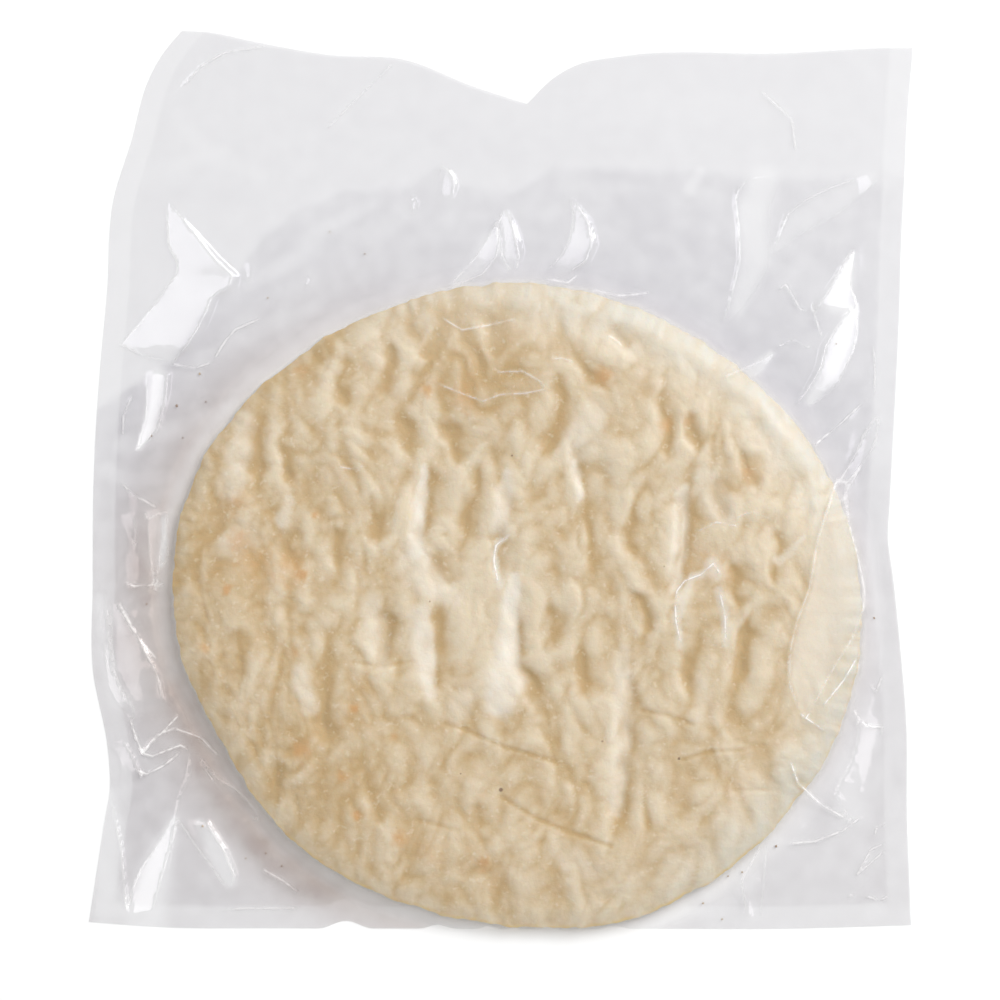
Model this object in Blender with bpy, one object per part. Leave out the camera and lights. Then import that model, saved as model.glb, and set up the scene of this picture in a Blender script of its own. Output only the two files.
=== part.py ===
"""A part-baked pizza crust, vacuum-packed in a clear plastic pouch that lies flat, shown side up.

The sealed pouch and the crust in it are one closed solid, because the film clings to the crust.
A square grid is laid over the pack: its inner rings follow the oval crust and its rounded rim,
its outer rings reach out to the pouch's welded edges. Every height is a function of the place.

Metres, +Z up. The origin is under the pack's middle, on the surface that it lies on. +Y points
to the pouch's loose flap, and +X to the right of the shown side.
"""
import math

import bmesh
import bpy
import numpy as np
from mathutils import Vector, noise

MM = 0.001

# The crust: an oval disc with a rounded rim.
CRUST_LENGTH = 300.0 * MM
CRUST_WIDTH = 275.5 * MM
CRUST_TURN = math.radians(-20.9)
CRUST_CENTRE = (7.5 * MM, -53.7 * MM)
CRUST_TOP = 10.2 * MM
RIM_ROUND = 9.0 * MM
RIM_BULGE_HEIGHT = 4.6 * MM

# The crumpled upper face, pulled into upright ridges by the vacuum.
CRUMPLE_ACROSS = 15.0 * MM
CRUMPLE_ALONG = 42.0 * MM
CRUMPLE_HEIGHT = 1.5 * MM
SWELL_SPAN = 75.0 * MM
SWELL_HEIGHT = 0.8 * MM
CRUMPLE_FADE = 22.0 * MM

# The pouch: two webs of film, welded along three sides and across below the flap.
WEB_HEIGHT = 1.2 * MM
WEB_FALL = 4.2 * MM
FLAP_WELD_Y = 126.0 * MM
FLAP_WELD_HALF_WIDTH = 5.0 * MM
FLAP_PUFF = 1.5 * MM

# The pouch's outline, corner by corner and edge by edge, as (x, y) in millimetres.
LEFT_EDGE = ((-179.0, -192.0), (-172.5, -149.9), (-169.9, -133.4), (-170.8, -116.9), (-177.3, -82.1),
             (-177.3, -46.1), (-176.8, 3.5), (-174.7, 42.1), (-171.2, 81.3), (-168.2, 122.5),
             (-160.8, 146.4), (-152.5, 175.1), (-146.9, 185.1), (-138.6, 195.1))
TOP_EDGE_TO_NOTCH = ((-138.6, 195.1), (-129.0, 194.7), (-106.9, 190.3), (-75.2, 184.7), (-41.7, 182.5),
                     (-12.6, 171.2), (11.3, 163.4))
TOP_EDGE_FROM_NOTCH = ((11.3, 163.4), (23.0, 174.7), (33.0, 180.3), (53.4, 184.2), (124.3, 185.5),
                       (166.0, 187.7), (179.0, 187.7))
RIGHT_EDGE = ((178.1, -193.4), (177.7, -182.1), (176.4, -147.3), (176.0, -103.0), (174.2, -80.8),
              (169.9, -39.1), (168.2, -26.5), (169.0, -8.7), (172.9, 70.0), (173.8, 100.4),
              (175.1, 128.2), (177.0, 165.0), (179.0, 187.7))
BOTTOM_EDGE = ((-179.0, -192.0), (-149.0, -194.2), (-97.0, -194.7), (-30.0, -194.8), (30.0, -195.1),
               (60.0, -194.9), (125.0, -194.9), (178.1, -193.4))
# Where the lowest part of the crust lifts the bottom weld: (middle x, rise, half width) in millimetres.
BOTTOM_SCALLOPS = ((-67.3, 3.3, 12.0), (-27.5, 1.7, 8.0), (-5.6, 1.4, 5.0), (5.6, 0.9, 3.5),
                   (21.3, 1.3, 5.5), (49.1, 1.4, 8.0))

# Folds that stand up in the loose film: (start, end, half width, height) in millimetres.
FOLDS = (((-144.0, 118.0), (-118.0, 86.0), 9.0, 5.0),
         ((-118.0, 86.0), (-160.0, 56.0), 10.0, 6.0),
         ((-150.0, 50.0), (-158.0, 14.0), 6.0, 4.0),
         ((-160.0, -16.0), (-150.0, -36.0), 6.0, 3.5),
         ((-172.0, -78.0), (-140.0, -116.0), 6.0, 4.0),
         ((-142.0, -146.0), (-156.0, -184.0), 8.0, 5.0),
         ((-142.0, -146.0), (-116.0, -174.0), 7.0, 4.5),
         ((2.0, 116.0), (-16.0, 86.0), 6.0, 4.0),
         ((106.0, 128.0), (97.0, 72.0), 8.0, 5.0),
         ((149.0, 98.0), (136.0, 36.0), 8.0, 5.5),
         ((146.0, -10.0), (128.0, -74.0), 8.0, 4.5),
         ((162.0, -54.0), (132.0, -104.0), 7.0, 5.0),
         ((150.0, -108.0), (136.0, -144.0), 8.0, 5.0),
         ((98.0, -172.0), (110.0, -190.0), 6.0, 4.0))
FOLD_FADE = 7.0 * MM

# The grid's rings, from the middle outwards.
INNER_RINGS = 20
RIM_RINGS = 6
FILM_RINGS = 6
RINGS = INNER_RINGS + RIM_RINGS + FILM_RINGS

FILM_OVER_DOUGH_COLOUR = (0.74, 0.60, 0.41, 1.0)
PACK_ROUGHNESS = 0.25


def smoothstep(value):
    """An S-shaped ramp from 0 to 1, flat at both ends."""
    value = np.clip(value, 0.0, 1.0)
    return value * value * (3.0 - 2.0 * value)


def curve_point(points, fraction):
    """Points on the smooth curve through the given ones, at fractions of its length.

    Each stretch is a cubic between two points, with the slope at each point taken from its neighbours.
    """
    points = np.array(points, float) * MM
    knots = np.concatenate([[0.0], np.cumsum(np.hypot(*np.diff(points, axis=0).T))])
    slopes = np.gradient(points, knots, axis=0)
    place = np.clip(fraction, 0.0, 1.0) * knots[-1]
    index = np.clip(np.searchsorted(knots, place, side="right") - 1, 0, len(knots) - 2)
    step = (knots[index + 1] - knots[index])[:, None]
    t = (place - knots[index])[:, None] / step
    start = points[index] * (1.0 + 2.0 * t) * (1.0 - t) ** 2 + slopes[index] * step * t * (1.0 - t) ** 2
    end = points[index + 1] * t * t * (3.0 - 2.0 * t) + slopes[index + 1] * step * t * t * (t - 1.0)
    return start + end


def top_edge(fraction):
    """The flap's edge, left to right, with its sharp notch half way."""
    left = curve_point(TOP_EDGE_TO_NOTCH, fraction * 2.0)
    right = curve_point(TOP_EDGE_FROM_NOTCH, fraction * 2.0 - 1.0)
    return np.where(fraction[:, None] < 0.5, left, right)


def bottom_edge(fraction):
    """The bottom weld's edge, left to right, a smooth curve with a cosine hump at each scallop."""
    edge = curve_point(BOTTOM_EDGE, fraction)
    for middle, rise, half_width in BOTTOM_SCALLOPS:
        offset = np.clip((edge[:, 0] - middle * MM) / (half_width * MM), -1.0, 1.0)
        edge[:, 1] += rise * MM * 0.5 * (1.0 + np.cos(math.pi * offset))
    return edge


def outline_point(side):
    """Points of the pouch's outline for points on the edge of the square from -1 to 1."""
    across = (side[:, 0] + 1.0) / 2.0
    up = (side[:, 1] + 1.0) / 2.0
    on_side_edge = np.abs(side[:, 0]) >= np.abs(side[:, 1])
    sides = np.where(side[:, :1] > 0.0, curve_point(RIGHT_EDGE, up), curve_point(LEFT_EDGE, up))
    ends = np.where(side[:, 1:] > 0.0, top_edge(across), bottom_edge(across))
    return np.where(on_side_edge[:, None], sides, ends)


def disc_point(square):
    """Points of a square from -1 to 1, carried to the unit disc so that its edge becomes the circle."""
    x, y = square.T
    return np.stack([x * np.sqrt(1.0 - y * y / 2.0), y * np.sqrt(1.0 - x * x / 2.0)], axis=1)


def on_crust(disc):
    """Points of the unit disc, carried to the oval crust."""
    long_way = disc @ (math.cos(CRUST_TURN), math.sin(CRUST_TURN)) * CRUST_LENGTH / 2.0
    short_way = disc @ (-math.sin(CRUST_TURN), math.cos(CRUST_TURN)) * CRUST_WIDTH / 2.0
    x = long_way * math.cos(CRUST_TURN) - short_way * math.sin(CRUST_TURN) + CRUST_CENTRE[0]
    y = long_way * math.sin(CRUST_TURN) + short_way * math.cos(CRUST_TURN) + CRUST_CENTRE[1]
    return np.stack([x, y], axis=1)


def distance_past_rim(places):
    """How far each place lies outside the crust's rim, negative inside it."""
    offset = places - CRUST_CENTRE
    long_way = offset @ (math.cos(CRUST_TURN), math.sin(CRUST_TURN))
    short_way = offset @ (-math.sin(CRUST_TURN), math.cos(CRUST_TURN))
    share = np.hypot(long_way / (CRUST_LENGTH / 2.0), short_way / (CRUST_WIDTH / 2.0))
    reach = np.hypot(long_way, short_way)
    rim_reach = np.full(len(places), CRUST_WIDTH / 2.0)
    np.divide(reach, share, out=rim_reach, where=share > 0.0)
    return reach - rim_reach


def lay_out(square):
    """Carries the square grid to the pack, and returns the places and how near each is to the edge.

    Inner rings fill the crust's level top, the next ones step down its round rim, and the outer ones
    run on straight lines from the rim to the pouch's outline.
    """
    ring = np.max(np.abs(square), axis=1) * RINGS
    side = square / np.maximum(np.max(np.abs(square), axis=1, keepdims=True), 1e-9)
    level_share = 1.0 - RIM_ROUND / (CRUST_WIDTH / 2.0)
    level = disc_point(np.clip(square * RINGS / INNER_RINGS, -1.0, 1.0)) * level_share
    rim_turn = np.clip((ring - INNER_RINGS) / RIM_RINGS, 0.0, 1.0)[:, None] * math.pi / 2.0
    rim = disc_point(side) * (level_share + (1.0 - level_share) * np.sin(rim_turn))
    outward = np.clip((ring - INNER_RINGS - RIM_RINGS) / FILM_RINGS, 0.0, 1.0)
    film = on_crust(disc_point(side)) * (1.0 - outward[:, None]) + outline_point(side) * outward[:, None]
    on_dough = on_crust(np.where(ring[:, None] <= INNER_RINGS, level, rim))
    places = np.where(ring[:, None] <= INNER_RINGS + RIM_RINGS, on_dough, film)
    return places, outward


def crumple(places):
    """The upper face's ridges: stretched noise whose valleys are sharp and whose ridges are round."""
    heights = []
    for x, y in places:
        ridge = abs(noise.noise(Vector((x / CRUMPLE_ACROSS, y / CRUMPLE_ALONG, 3.0))))
        swell = noise.noise(Vector((x / SWELL_SPAN, y / SWELL_SPAN, 9.0)))
        heights.append(CRUMPLE_HEIGHT * (ridge * 2.0 - 0.5) + SWELL_HEIGHT * swell)
    return np.array(heights)


def folds(places):
    """The standing folds: for each, a roof along a line, highest half way and level at its ends."""
    heights = np.zeros(len(places))
    for start, end, half_width, height in FOLDS:
        start = np.array(start) * MM
        along = np.array(end) * MM - start
        share = np.clip((places - start) @ along / (along @ along), 0.0, 1.0)
        apart = np.hypot(*(places - start - share[:, None] * along).T)
        roof = np.clip(1.0 - apart / (half_width * MM), 0.0, 1.0)
        heights = np.maximum(heights, height * MM * roof * (0.35 + 0.65 * np.sin(math.pi * share)))
    return heights


def height(places, outward):
    """The pack's height: the rounded, crumpled crust, then film that drops to the webs and folds."""
    past = distance_past_rim(places)
    rim = np.clip(1.0 + past / RIM_ROUND, 0.0, 1.0)
    dough = RIM_BULGE_HEIGHT + (CRUST_TOP - RIM_BULGE_HEIGHT) * np.sqrt(1.0 - rim * rim)
    dough += crumple(places) * smoothstep(-past / CRUMPLE_FADE)
    drop = np.exp(-np.maximum(past, 0.0) / WEB_FALL)
    film = WEB_HEIGHT + (RIM_BULGE_HEIGHT - WEB_HEIGHT) * drop
    loose = smoothstep(past / FOLD_FADE) * smoothstep((1.0 - outward) * 2.0)
    film += folds(places) * loose
    above_weld = (places[:, 1] - FLAP_WELD_Y) / FLAP_WELD_HALF_WIDTH
    film += FLAP_PUFF * smoothstep(above_weld) * smoothstep((1.0 - outward) * 2.0)
    return np.where(past < 0.0, dough, film)


def material(name, colour, roughness):
    """A Principled material of one colour."""
    made = bpy.data.materials.new(name)
    made.use_nodes = True
    shader = made.node_tree.nodes["Principled BSDF"]
    shader.inputs["Base Color"].default_value = colour
    shader.inputs["Roughness"].default_value = roughness
    shader.inputs["Metallic"].default_value = 0.0
    return made


def upper_face(pack):
    """Moves the grid's corners from their square to the pack's upper face."""
    mesh = pack.data
    corners = np.empty(len(mesh.vertices) * 3)
    mesh.vertices.foreach_get("co", corners)
    square = corners.reshape(-1, 3)[:, :2].astype(float)
    places, outward = lay_out(square)
    heights = height(places, outward)
    middle = (places.min(axis=0) + places.max(axis=0)) / 2.0
    placed = np.column_stack([places - middle, heights])
    mesh.vertices.foreach_set("co", placed.ravel())


def close_below(pack):
    """Drops a wall from the upper face's edge and closes it with a level underside."""
    shape = bmesh.new()
    shape.from_mesh(pack.data)
    edge = [e for e in shape.edges if e.is_boundary]
    wall = bmesh.ops.extrude_edge_only(shape, edges=edge)["geom"]
    foot = [v for v in wall if isinstance(v, bmesh.types.BMVert)]
    for vertex in foot:
        vertex.co.z = 0.0
    foot_edges = [e for e in wall if isinstance(e, bmesh.types.BMEdge) and e.is_boundary]
    underside = bmesh.ops.contextual_create(shape, geom=foot_edges)["faces"]
    bmesh.ops.poke(shape, faces=underside)
    bmesh.ops.recalc_face_normals(shape, faces=shape.faces)
    shape.to_mesh(pack.data)
    shape.free()


def sealed_pouch(collection):
    """The pouch with the crust in it, one closed solid."""
    bpy.ops.mesh.primitive_grid_add(x_subdivisions=2 * RINGS, y_subdivisions=2 * RINGS, size=2.0)
    pack = bpy.context.active_object
    pack.name = "sealed_pouch"
    for owner in list(pack.users_collection):
        owner.objects.unlink(pack)
    collection.objects.link(pack)
    upper_face(pack)
    close_below(pack)
    pack.data.materials.append(material("clear_film", FILM_OVER_DOUGH_COLOUR, PACK_ROUGHNESS))
    pack.data.shade_smooth()
    pack.data.set_sharp_from_angle(angle=math.radians(40.0))
    return pack


for leftover in list(bpy.data.objects):
    bpy.data.objects.remove(leftover, do_unlink=True)

pack_collection = bpy.data.collections.new("packed_pizza_crust")
bpy.context.scene.collection.children.link(pack_collection)
sealed_pouch(pack_collection)
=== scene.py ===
"""A pale, part-baked pizza crust, vacuum-packed in a clear, glossy pouch with a loose flap.

The pack lies flat with its shown side up. The crust comes first, then the crumbs that broke off
it, the pouch's back web that it lies on, and the front web that is sucked down on it.
"""
import math

import bpy
import numpy as np
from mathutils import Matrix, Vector


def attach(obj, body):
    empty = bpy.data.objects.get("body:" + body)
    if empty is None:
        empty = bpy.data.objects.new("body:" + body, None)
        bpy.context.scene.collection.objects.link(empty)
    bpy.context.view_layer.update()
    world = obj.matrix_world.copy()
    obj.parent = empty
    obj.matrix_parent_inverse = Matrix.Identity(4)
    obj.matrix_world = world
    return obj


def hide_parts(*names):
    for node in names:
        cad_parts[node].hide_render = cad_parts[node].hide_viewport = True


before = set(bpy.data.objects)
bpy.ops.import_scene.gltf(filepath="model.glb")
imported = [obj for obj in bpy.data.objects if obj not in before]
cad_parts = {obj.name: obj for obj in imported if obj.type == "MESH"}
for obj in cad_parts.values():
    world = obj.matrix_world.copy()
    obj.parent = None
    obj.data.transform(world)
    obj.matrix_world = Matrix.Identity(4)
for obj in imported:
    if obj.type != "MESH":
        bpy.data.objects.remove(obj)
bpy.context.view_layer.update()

MM = 0.001

# ---------------------------------------------------------------------------------------------
# The crust: an oval disc of pale dough, rolled, docked and part-baked, so that it is matt and
# creamy, lightly toasted in spots and golden along its rim. The vacuum has pulled its upper face
# into upright crumples with sharp creases. It lies loose on the back web.

CRUST_LENGTH = 300.0 * MM
CRUST_WIDTH = 275.5 * MM
CRUST_TURN = math.radians(-20.9)
CRUST_CENTRE = (7.5 * MM, -53.7 * MM)
CRUST_TOP = 10.2 * MM
CRUST_UNDERSIDE = 0.7 * MM
RIM_ROUND = 10.0 * MM
RIM_SLACK = 2.4 * MM
RIM_BULGE_HEIGHT = 2.2 * MM
RIM_BULGE_RISE = 3.0 * MM
RIM_TUCK = 2.0 * MM
CRUMPLE_MIDDLE = 0.9
# The crumples, coarse to fine: width in mm, length as a share of it, height in mm, rounding, seed.
CRUMPLES = ((21.0, 1.7, 1.15, 0.05, 6), (13.0, 1.6, 0.92, 0.05, 7), (8.0, 1.4, 0.52, 0.05, 8),
            (4.5, 1.2, 0.20, 0.06, 10))
# How far the oval is out of true, in thousandths, as cosine and sine for one to seven waves round it.
RIM_WAVES = ((1.8, -1.4), (-1.7, 6.5), (-5.0, -3.1), (1.6, 2.1), (-3.4, -0.6), (1.1, 0.4), (1.7, 0.5))
# Where it stands out or in besides: compass direction and half width in degrees, share of the radius.
RIM_DENTS = ((10, 25, 0.005), (130, 30, -0.006), (207, 9, -0.011), (231, 13, 0.012), (262, 12, 0.006),
             (286, 10, 0.014))

CRUST_CELLS = 280
RIM_CELLS = 11
SKIRT_RINGS = 9
UNDERSIDE_RINGS = 5

# One step across the pack in the lists of creases and folds, counted from the frame's upper left.
STEP = 0.4345 * MM
STEP_ORIGIN = (501.0, 480.0)

# Creases in the upper face: depth and half widths to the left and right in mm, then the line in steps.
CREASES = (
    (1.5, 6, 13, ((431, 462), (427, 500), (422, 530), (425, 548))),
    (0.8, 9, 11, ((428, 553), (441, 572), (456, 592))),
    (1.4, 6.5, 9, ((516, 566), (517, 613), (518, 660), (534, 684), (550, 715), (555, 755))),
    (0.9, 4, 9, ((500, 520), (494, 552), (502, 584))),
    (1.6, 7, 11, ((632, 655), (629, 700), (625, 771), (618, 812), (611, 852))),
    (1.4, 8, 11, ((441, 596), (437, 650), (433, 692))),
    (1.3, 8, 11, ((388, 600), (385, 640), (383, 672))),
    (1.3, 7, 9, ((332, 632), (326, 690), (327, 756))),
    (1, 5, 10, ((570, 436), (579, 466), (585, 502), (590, 545))),
    (1.3, 6, 11, ((691, 468), (685, 500), (684, 550), (675, 596))),
    (0.8, 5, 8, ((727, 556), (735, 585), (741, 612))),
    (1, 6, 8, ((697, 632), (690, 664), (688, 702))),
    (1, 6, 8, ((752, 612), (744, 640), (729, 688))),
    (1, 7, 7, ((262, 410), (258, 440), (262, 486))),
    (0.9, 5, 7, ((283, 436), (289, 460), (292, 486))),
    (0.8, 5, 8, ((347, 346), (339, 386), (352, 412))),
    (0.9, 5, 8, ((391, 338), (385, 378), (398, 403))),
    (0.7, 5, 7, ((438, 332), (424, 364))),
    (0.9, 5, 8, ((459, 324), (476, 355), (490, 384))),
    (0.8, 5, 8, ((493, 308), (494, 332), (497, 362))),
    (0.9, 5, 8, ((557, 322), (573, 353), (596, 384), (612, 398))),
    (1.1, 6, 9, ((555, 366), (563, 405), (552, 436), (536, 470))),
    (0.8, 5, 7, ((607, 322), (618, 338), (634, 352))),
    (1.1, 5, 8, ((660, 380), (663, 420), (669, 468))),
    (0.9, 5, 8, ((685, 405), (692, 430), (702, 455))),
    (1.1, 5, 8, ((744, 446), (748, 468), (756, 494))),
    (0.9, 5, 9, ((368, 488), (374, 520), (380, 553))),
    (0.9, 5, 9, ((334, 520), (336, 545), (341, 572))),
    (0.9, 5, 9, ((444, 418), (452, 444), (464, 470))),
    (1, 6, 9, ((487, 452), (474, 495), (464, 524), (461, 556))),
    (0.9, 5, 8, ((399, 404), (406, 436), (417, 464))),
    (0.7, 6, 7, ((244, 620), (240, 655), (241, 692))),
    (0.8, 6, 6, ((279, 748), (276, 780), (276, 814))),
    (0.8, 6, 8, ((300, 520), (291, 548), (296, 578))),
    (0.7, 6, 8, ((481, 796), (478, 834))),
    (0.8, 6, 8, ((552, 596), (549, 622), (556, 655))),
    (0.8, 6, 8, ((586, 640), (582, 670), (589, 706))),
    (0.8, 5, 8, ((635, 500), (628, 530), (632, 565))),
    (0.8, 5, 8, ((630, 586), (640, 612), (657, 634))),
    (0.8, 5, 8, ((720, 470), (716, 500), (722, 524))),
    (0.8, 5, 8, ((770, 520), (776, 552), (772, 590))),
    (0.7, 5, 7, ((365, 770), (372, 800), (392, 826))),
)
# Fine cracks in the skin of the dough: depth in mm, then the line in steps.
CRACKS = (
    (0.45, ((446, 722), (463, 727), (503, 745), (523, 750), (556, 761))),
    (0.45, ((500, 794), (538, 817), (569, 830), (611, 844))),
    (0.3, ((416, 817), (458, 828))),
    (0.35, ((642, 709), (668, 714), (692, 723))),
    (0.35, ((681, 758), (705, 750), (742, 748))),
    (0.25, ((352, 661), (385, 665), (412, 660))),
    (0.25, ((731, 788), (773, 788))),
    (0.25, ((430, 540), (448, 533))),
)
CRACK_HALF_WIDTH = 1.5 * MM
# Toasted spots: place in steps, radius in mm and strength.
TOASTED_SPOTS = (
    (428, 391, 4.5, 0.9), (603, 377, 5.5, 1), (665, 426, 5, 0.7), (688, 420, 4.5, 0.6),
    (748, 474, 7, 0.6), (239, 541, 5, 0.8), (228, 588, 3, 1), (303, 574, 2.6, 1),
    (316, 515, 2.6, 0.9), (206, 648, 3.5, 0.8), (301, 748, 4.5, 0.7), (355, 707, 2.6, 0.9),
    (395, 734, 2.6, 0.8), (343, 775, 4, 0.8), (358, 813, 3.2, 1), (401, 836, 5, 0.8),
    (485, 859, 4, 0.7), (297, 651, 4, 0.6), (250, 560, 14, 0.45), (295, 560, 14, 0.35),
    (240, 505, 10, 0.4), (300, 370, 6, 0.6), (430, 850, 12, 0.4), (720, 560, 10, 0.4),
    (500, 690, 8, 0.25), (505, 878, 15, 0.3), (460, 395, 9, 0.35), (560, 420, 9, 0.3),
    (510, 335, 9, 0.35),
)
# Specks of browned flour: place in steps and radius in mm.
SPECKS = ((501, 788, 1.1), (602, 740, 0.7), (402, 604, 0.5), (430, 601, 0.6), (678, 757, 0.8),
          (804, 613, 0.6), (437, 645, 0.6), (663, 566, 0.7), (512, 456, 0.5), (262, 583, 0.6),
          (340, 421, 0.5), (527, 912, 0.7), (675, 871, 0.8), (461, 772, 0.4))
SPECK_LEVEL = 9.8 * MM

# The slack bubble of film over the crust's right side, under which the dough is smoother: its left
# and its right border in steps, top to bottom.
BUBBLE_LEFT = ((836, 482), (824, 513), (815, 541), (807, 589), (795, 620), (790, 640), (786, 662),
               (788, 686), (795, 706), (803, 716))
BUBBLE_RIGHT = ((836, 482), (849, 520), (868, 570), (866, 606), (851, 635), (825, 679), (803, 716))

# Ribbons where the film is taut over a valley and the dough looks white, which is painted sheen on the
# dough and in the film: strength, then the line in steps with its half width.
SHEEN_RIBBONS = (
    (0.95, ((426, 466, 3), (421, 498, 6), (418, 530, 7), (417, 552, 9))),
    (0.5, ((410, 558, 14), (424, 574, 18), (440, 590, 15), (452, 598, 8))),
    (0.8, ((420, 614, 9), (424, 640, 10), (427, 664, 10), (430, 690, 6))),
    (0.4, ((372, 604, 10), (376, 635, 12), (379, 660, 9))),
    (0.65, ((508, 474, 5), (503, 500, 9), (500, 527, 9))),
    (0.8, ((508, 536, 2), (499, 541, 3), (494, 556, 3), (496, 570, 4), (500, 584, 4))),
    (1.00, ((515, 575, 5), (511, 600, 9), (508, 630, 9), (506, 660, 12), (503, 682, 19), (498, 704, 13))),
    (0.75, ((574, 460, 4), (576, 478, 5), (578, 496, 4))),
    (0.4, ((594, 412, 12), (582, 438, 18), (572, 460, 8))),
    (0.5, ((622, 652, 7), (622, 690, 10), (621, 730, 11), (618, 770, 10), (614, 810, 6))),
    (0.6, ((682, 490, 6), (679, 520, 9), (676, 550, 9), (674, 586, 6))),
    (0.75, ((704, 570, 3), (690, 580, 4), (681, 598, 5), (676, 620, 4), (678, 645, 3))),
    (0.75, ((711, 562, 6), (715, 574, 6))),
    (0.75, ((717, 588, 4), (722, 605, 4), (725, 622, 5), (725, 642, 3))),
    (0.65, ((801, 537, 2), (790, 549, 4), (776, 562, 4))),
    (0.5, ((774, 434, 9), (772, 467, 9))),
    (0.4, ((247, 420, 9), (240, 455, 12), (231, 490, 10))),
    (0.5, ((291, 501, 5), (283, 522, 6))),
    (0.3, ((246, 535, 14), (233, 548, 12))),
    (0.45, ((300, 672, 7), (310, 706, 9))),
    (0.35, ((703, 478, 13), (722, 512, 15))),
    (0.3, ((560, 850, 12), (590, 868, 12))),
    (0.3, ((700, 680, 8), (706, 712, 10))),
    (0.3, ((470, 690, 10), (455, 712, 12))),
)

# Broad patches of the upper face that are darker, or paler where less than 0: place, radius, amount.
TONE_PATCHES = ((480, 345, 75, 0.65), (500, 605, 65, -0.60), (760, 520, 50, -0.25), (600, 480, 45, -0.35),
                (740, 760, 75, 0.22), (560, 800, 70, 0.18), (230, 560, 60, 0.10), (330, 760, 80, 0.30))

# The first two colours are painted light: a highlight, and the sheen of the rim's lit side. Beige and tan are
# the dough's tone and also the painted shade of its hollows.
HIGHLIGHT_CREAM = (0.765, 0.705, 0.585)
RIM_SHEEN_GREY = (0.590, 0.572, 0.498)
CREAM = (0.660, 0.562, 0.405)
BEIGE = (0.562, 0.434, 0.262)
TAN_AND_SHADE = (0.468, 0.314, 0.126)
TOAST = (0.560, 0.315, 0.110)
GOLDEN = (0.610, 0.455, 0.200)
FLOUR = (0.780, 0.700, 0.560)
SPECK_BROWN = (0.150, 0.070, 0.030)


def spot(across, down):
    """The place on the pack of a point in steps: across to the right, down from the frame's top."""
    return (across - STEP_ORIGIN[0]) * STEP, (STEP_ORIGIN[1] - down) * STEP


def in_steps(x, y):
    """The place in steps of a point on the pack, across and down."""
    return x / STEP + STEP_ORIGIN[0], STEP_ORIGIN[1] - y / STEP


def smoothstep(value):
    """An S-shaped ramp from 0 to 1, flat at both ends."""
    value = np.clip(value, 0.0, 1.0)
    return value * value * (3.0 - 2.0 * value)


def bell(value):
    """1 at 0 and falling off to both sides: e to the power of less the square."""
    return np.exp(-(value ** 2))


def towards(compass, degrees, add, times=1.0):
    """1 round the rim where it faces a compass direction and 0 where it faces away: an S-shaped ramp
    of the cosine between them."""
    return smoothstep(add + times * np.cos(compass - math.radians(degrees)))


def sheen_ribbons(x, y):
    """How much each place lies in a ribbon of painted sheen: soft-edged bands along the listed lines."""
    wavy_x = x + 1.2 * MM * lumps(x / (5.0 * MM), y / (7.0 * MM), 51)
    wavy_y = y + 1.6 * MM * lumps(x / (5.0 * MM), y / (7.0 * MM), 52)
    patchy = 0.85 + 0.3 * lumps(x / (6.0 * MM), y / (9.0 * MM), 53)
    amount = np.zeros_like(x)
    for strength, line in SHEEN_RIBBONS:
        amount = np.maximum(amount, strength * patchy * band(wavy_x, wavy_y, line, 1.6, 1.2))
    return amount


def in_bubble(x, y, softness):
    """1 under the slack bubble and 0 beside it, with borders some steps soft."""
    across, down = in_steps(x, y)
    left = np.interp(down, *np.array(BUBBLE_LEFT, float).T[::-1])
    right = np.interp(down, *np.array(BUBBLE_RIGHT, float).T[::-1])
    return smoothstep((across - left) / softness) * smoothstep((right - across) / softness)


def lumps(x, y, seed):
    """Soft random lumps, one to each unit square, from about -1 to 1.

    At every whole-number corner stands a random slope. A point adds the four slopes around it,
    weighted by a fifth-degree ramp in each direction.
    """
    turns = np.random.default_rng(seed).uniform(0.0, 2.0 * math.pi, (256, 256))
    column, row = np.floor(x).astype(int), np.floor(y).astype(int)
    over, up = x - column, y - row

    def slope_at(right, above):
        turn = turns[(column + right) % 256, (row + above) % 256]
        return np.cos(turn) * (over - right) + np.sin(turn) * (up - above)

    ramp_over = over ** 3 * (over * (over * 6.0 - 15.0) + 10.0)
    ramp_up = up ** 3 * (up * (up * 6.0 - 15.0) + 10.0)
    low = slope_at(0, 0) * (1.0 - ramp_over) + slope_at(1, 0) * ramp_over
    high = slope_at(0, 1) * (1.0 - ramp_over) + slope_at(1, 1) * ramp_over
    return (low * (1.0 - ramp_up) + high * ramp_up) * 1.5


def beside(x, y, line):
    """For each place, its distance from a bent line, the side it is on and how far along it lies.

    The nearest point is sought on each straight stretch. The side is 1 to the right of the line
    as it is listed, top to bottom, and -1 to the left. The share runs from 0 to 1.
    """
    points = np.array([spot(*point[:2]) for point in line])
    lengths = np.hypot(*np.diff(points, axis=0).T)
    distance = np.full(x.shape, np.inf)
    side, share = np.zeros(x.shape), np.zeros(x.shape)
    for start, end, length, before in zip(points, points[1:], lengths, np.cumsum(lengths) - lengths):
        along = (end - start) / length
        run = np.clip((x - start[0]) * along[0] + (y - start[1]) * along[1], 0.0, length)
        off_x, off_y = x - start[0] - run * along[0], y - start[1] - run * along[1]
        apart = np.hypot(off_x, off_y)
        nearer = apart < distance
        distance = np.where(nearer, apart, distance)
        side = np.where(nearer, np.sign(along[0] * off_y - along[1] * off_x), side)
        share = np.where(nearer, (before + run) / lengths.sum(), share)
    return distance, side, share


def band(x, y, line, reach, softness):
    """How much each place lies in a band along a bent line, whose half width is listed with each
    point: an S-shaped ramp of the distance as a share of the half width, 0 from reach on."""
    distance, side, share = beside(x, y, line)
    half_width = np.interp(share, np.linspace(0.0, 1.0, len(line)), [point[2] for point in line]) * STEP
    return smoothstep((reach - distance / half_width) / softness)


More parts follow.
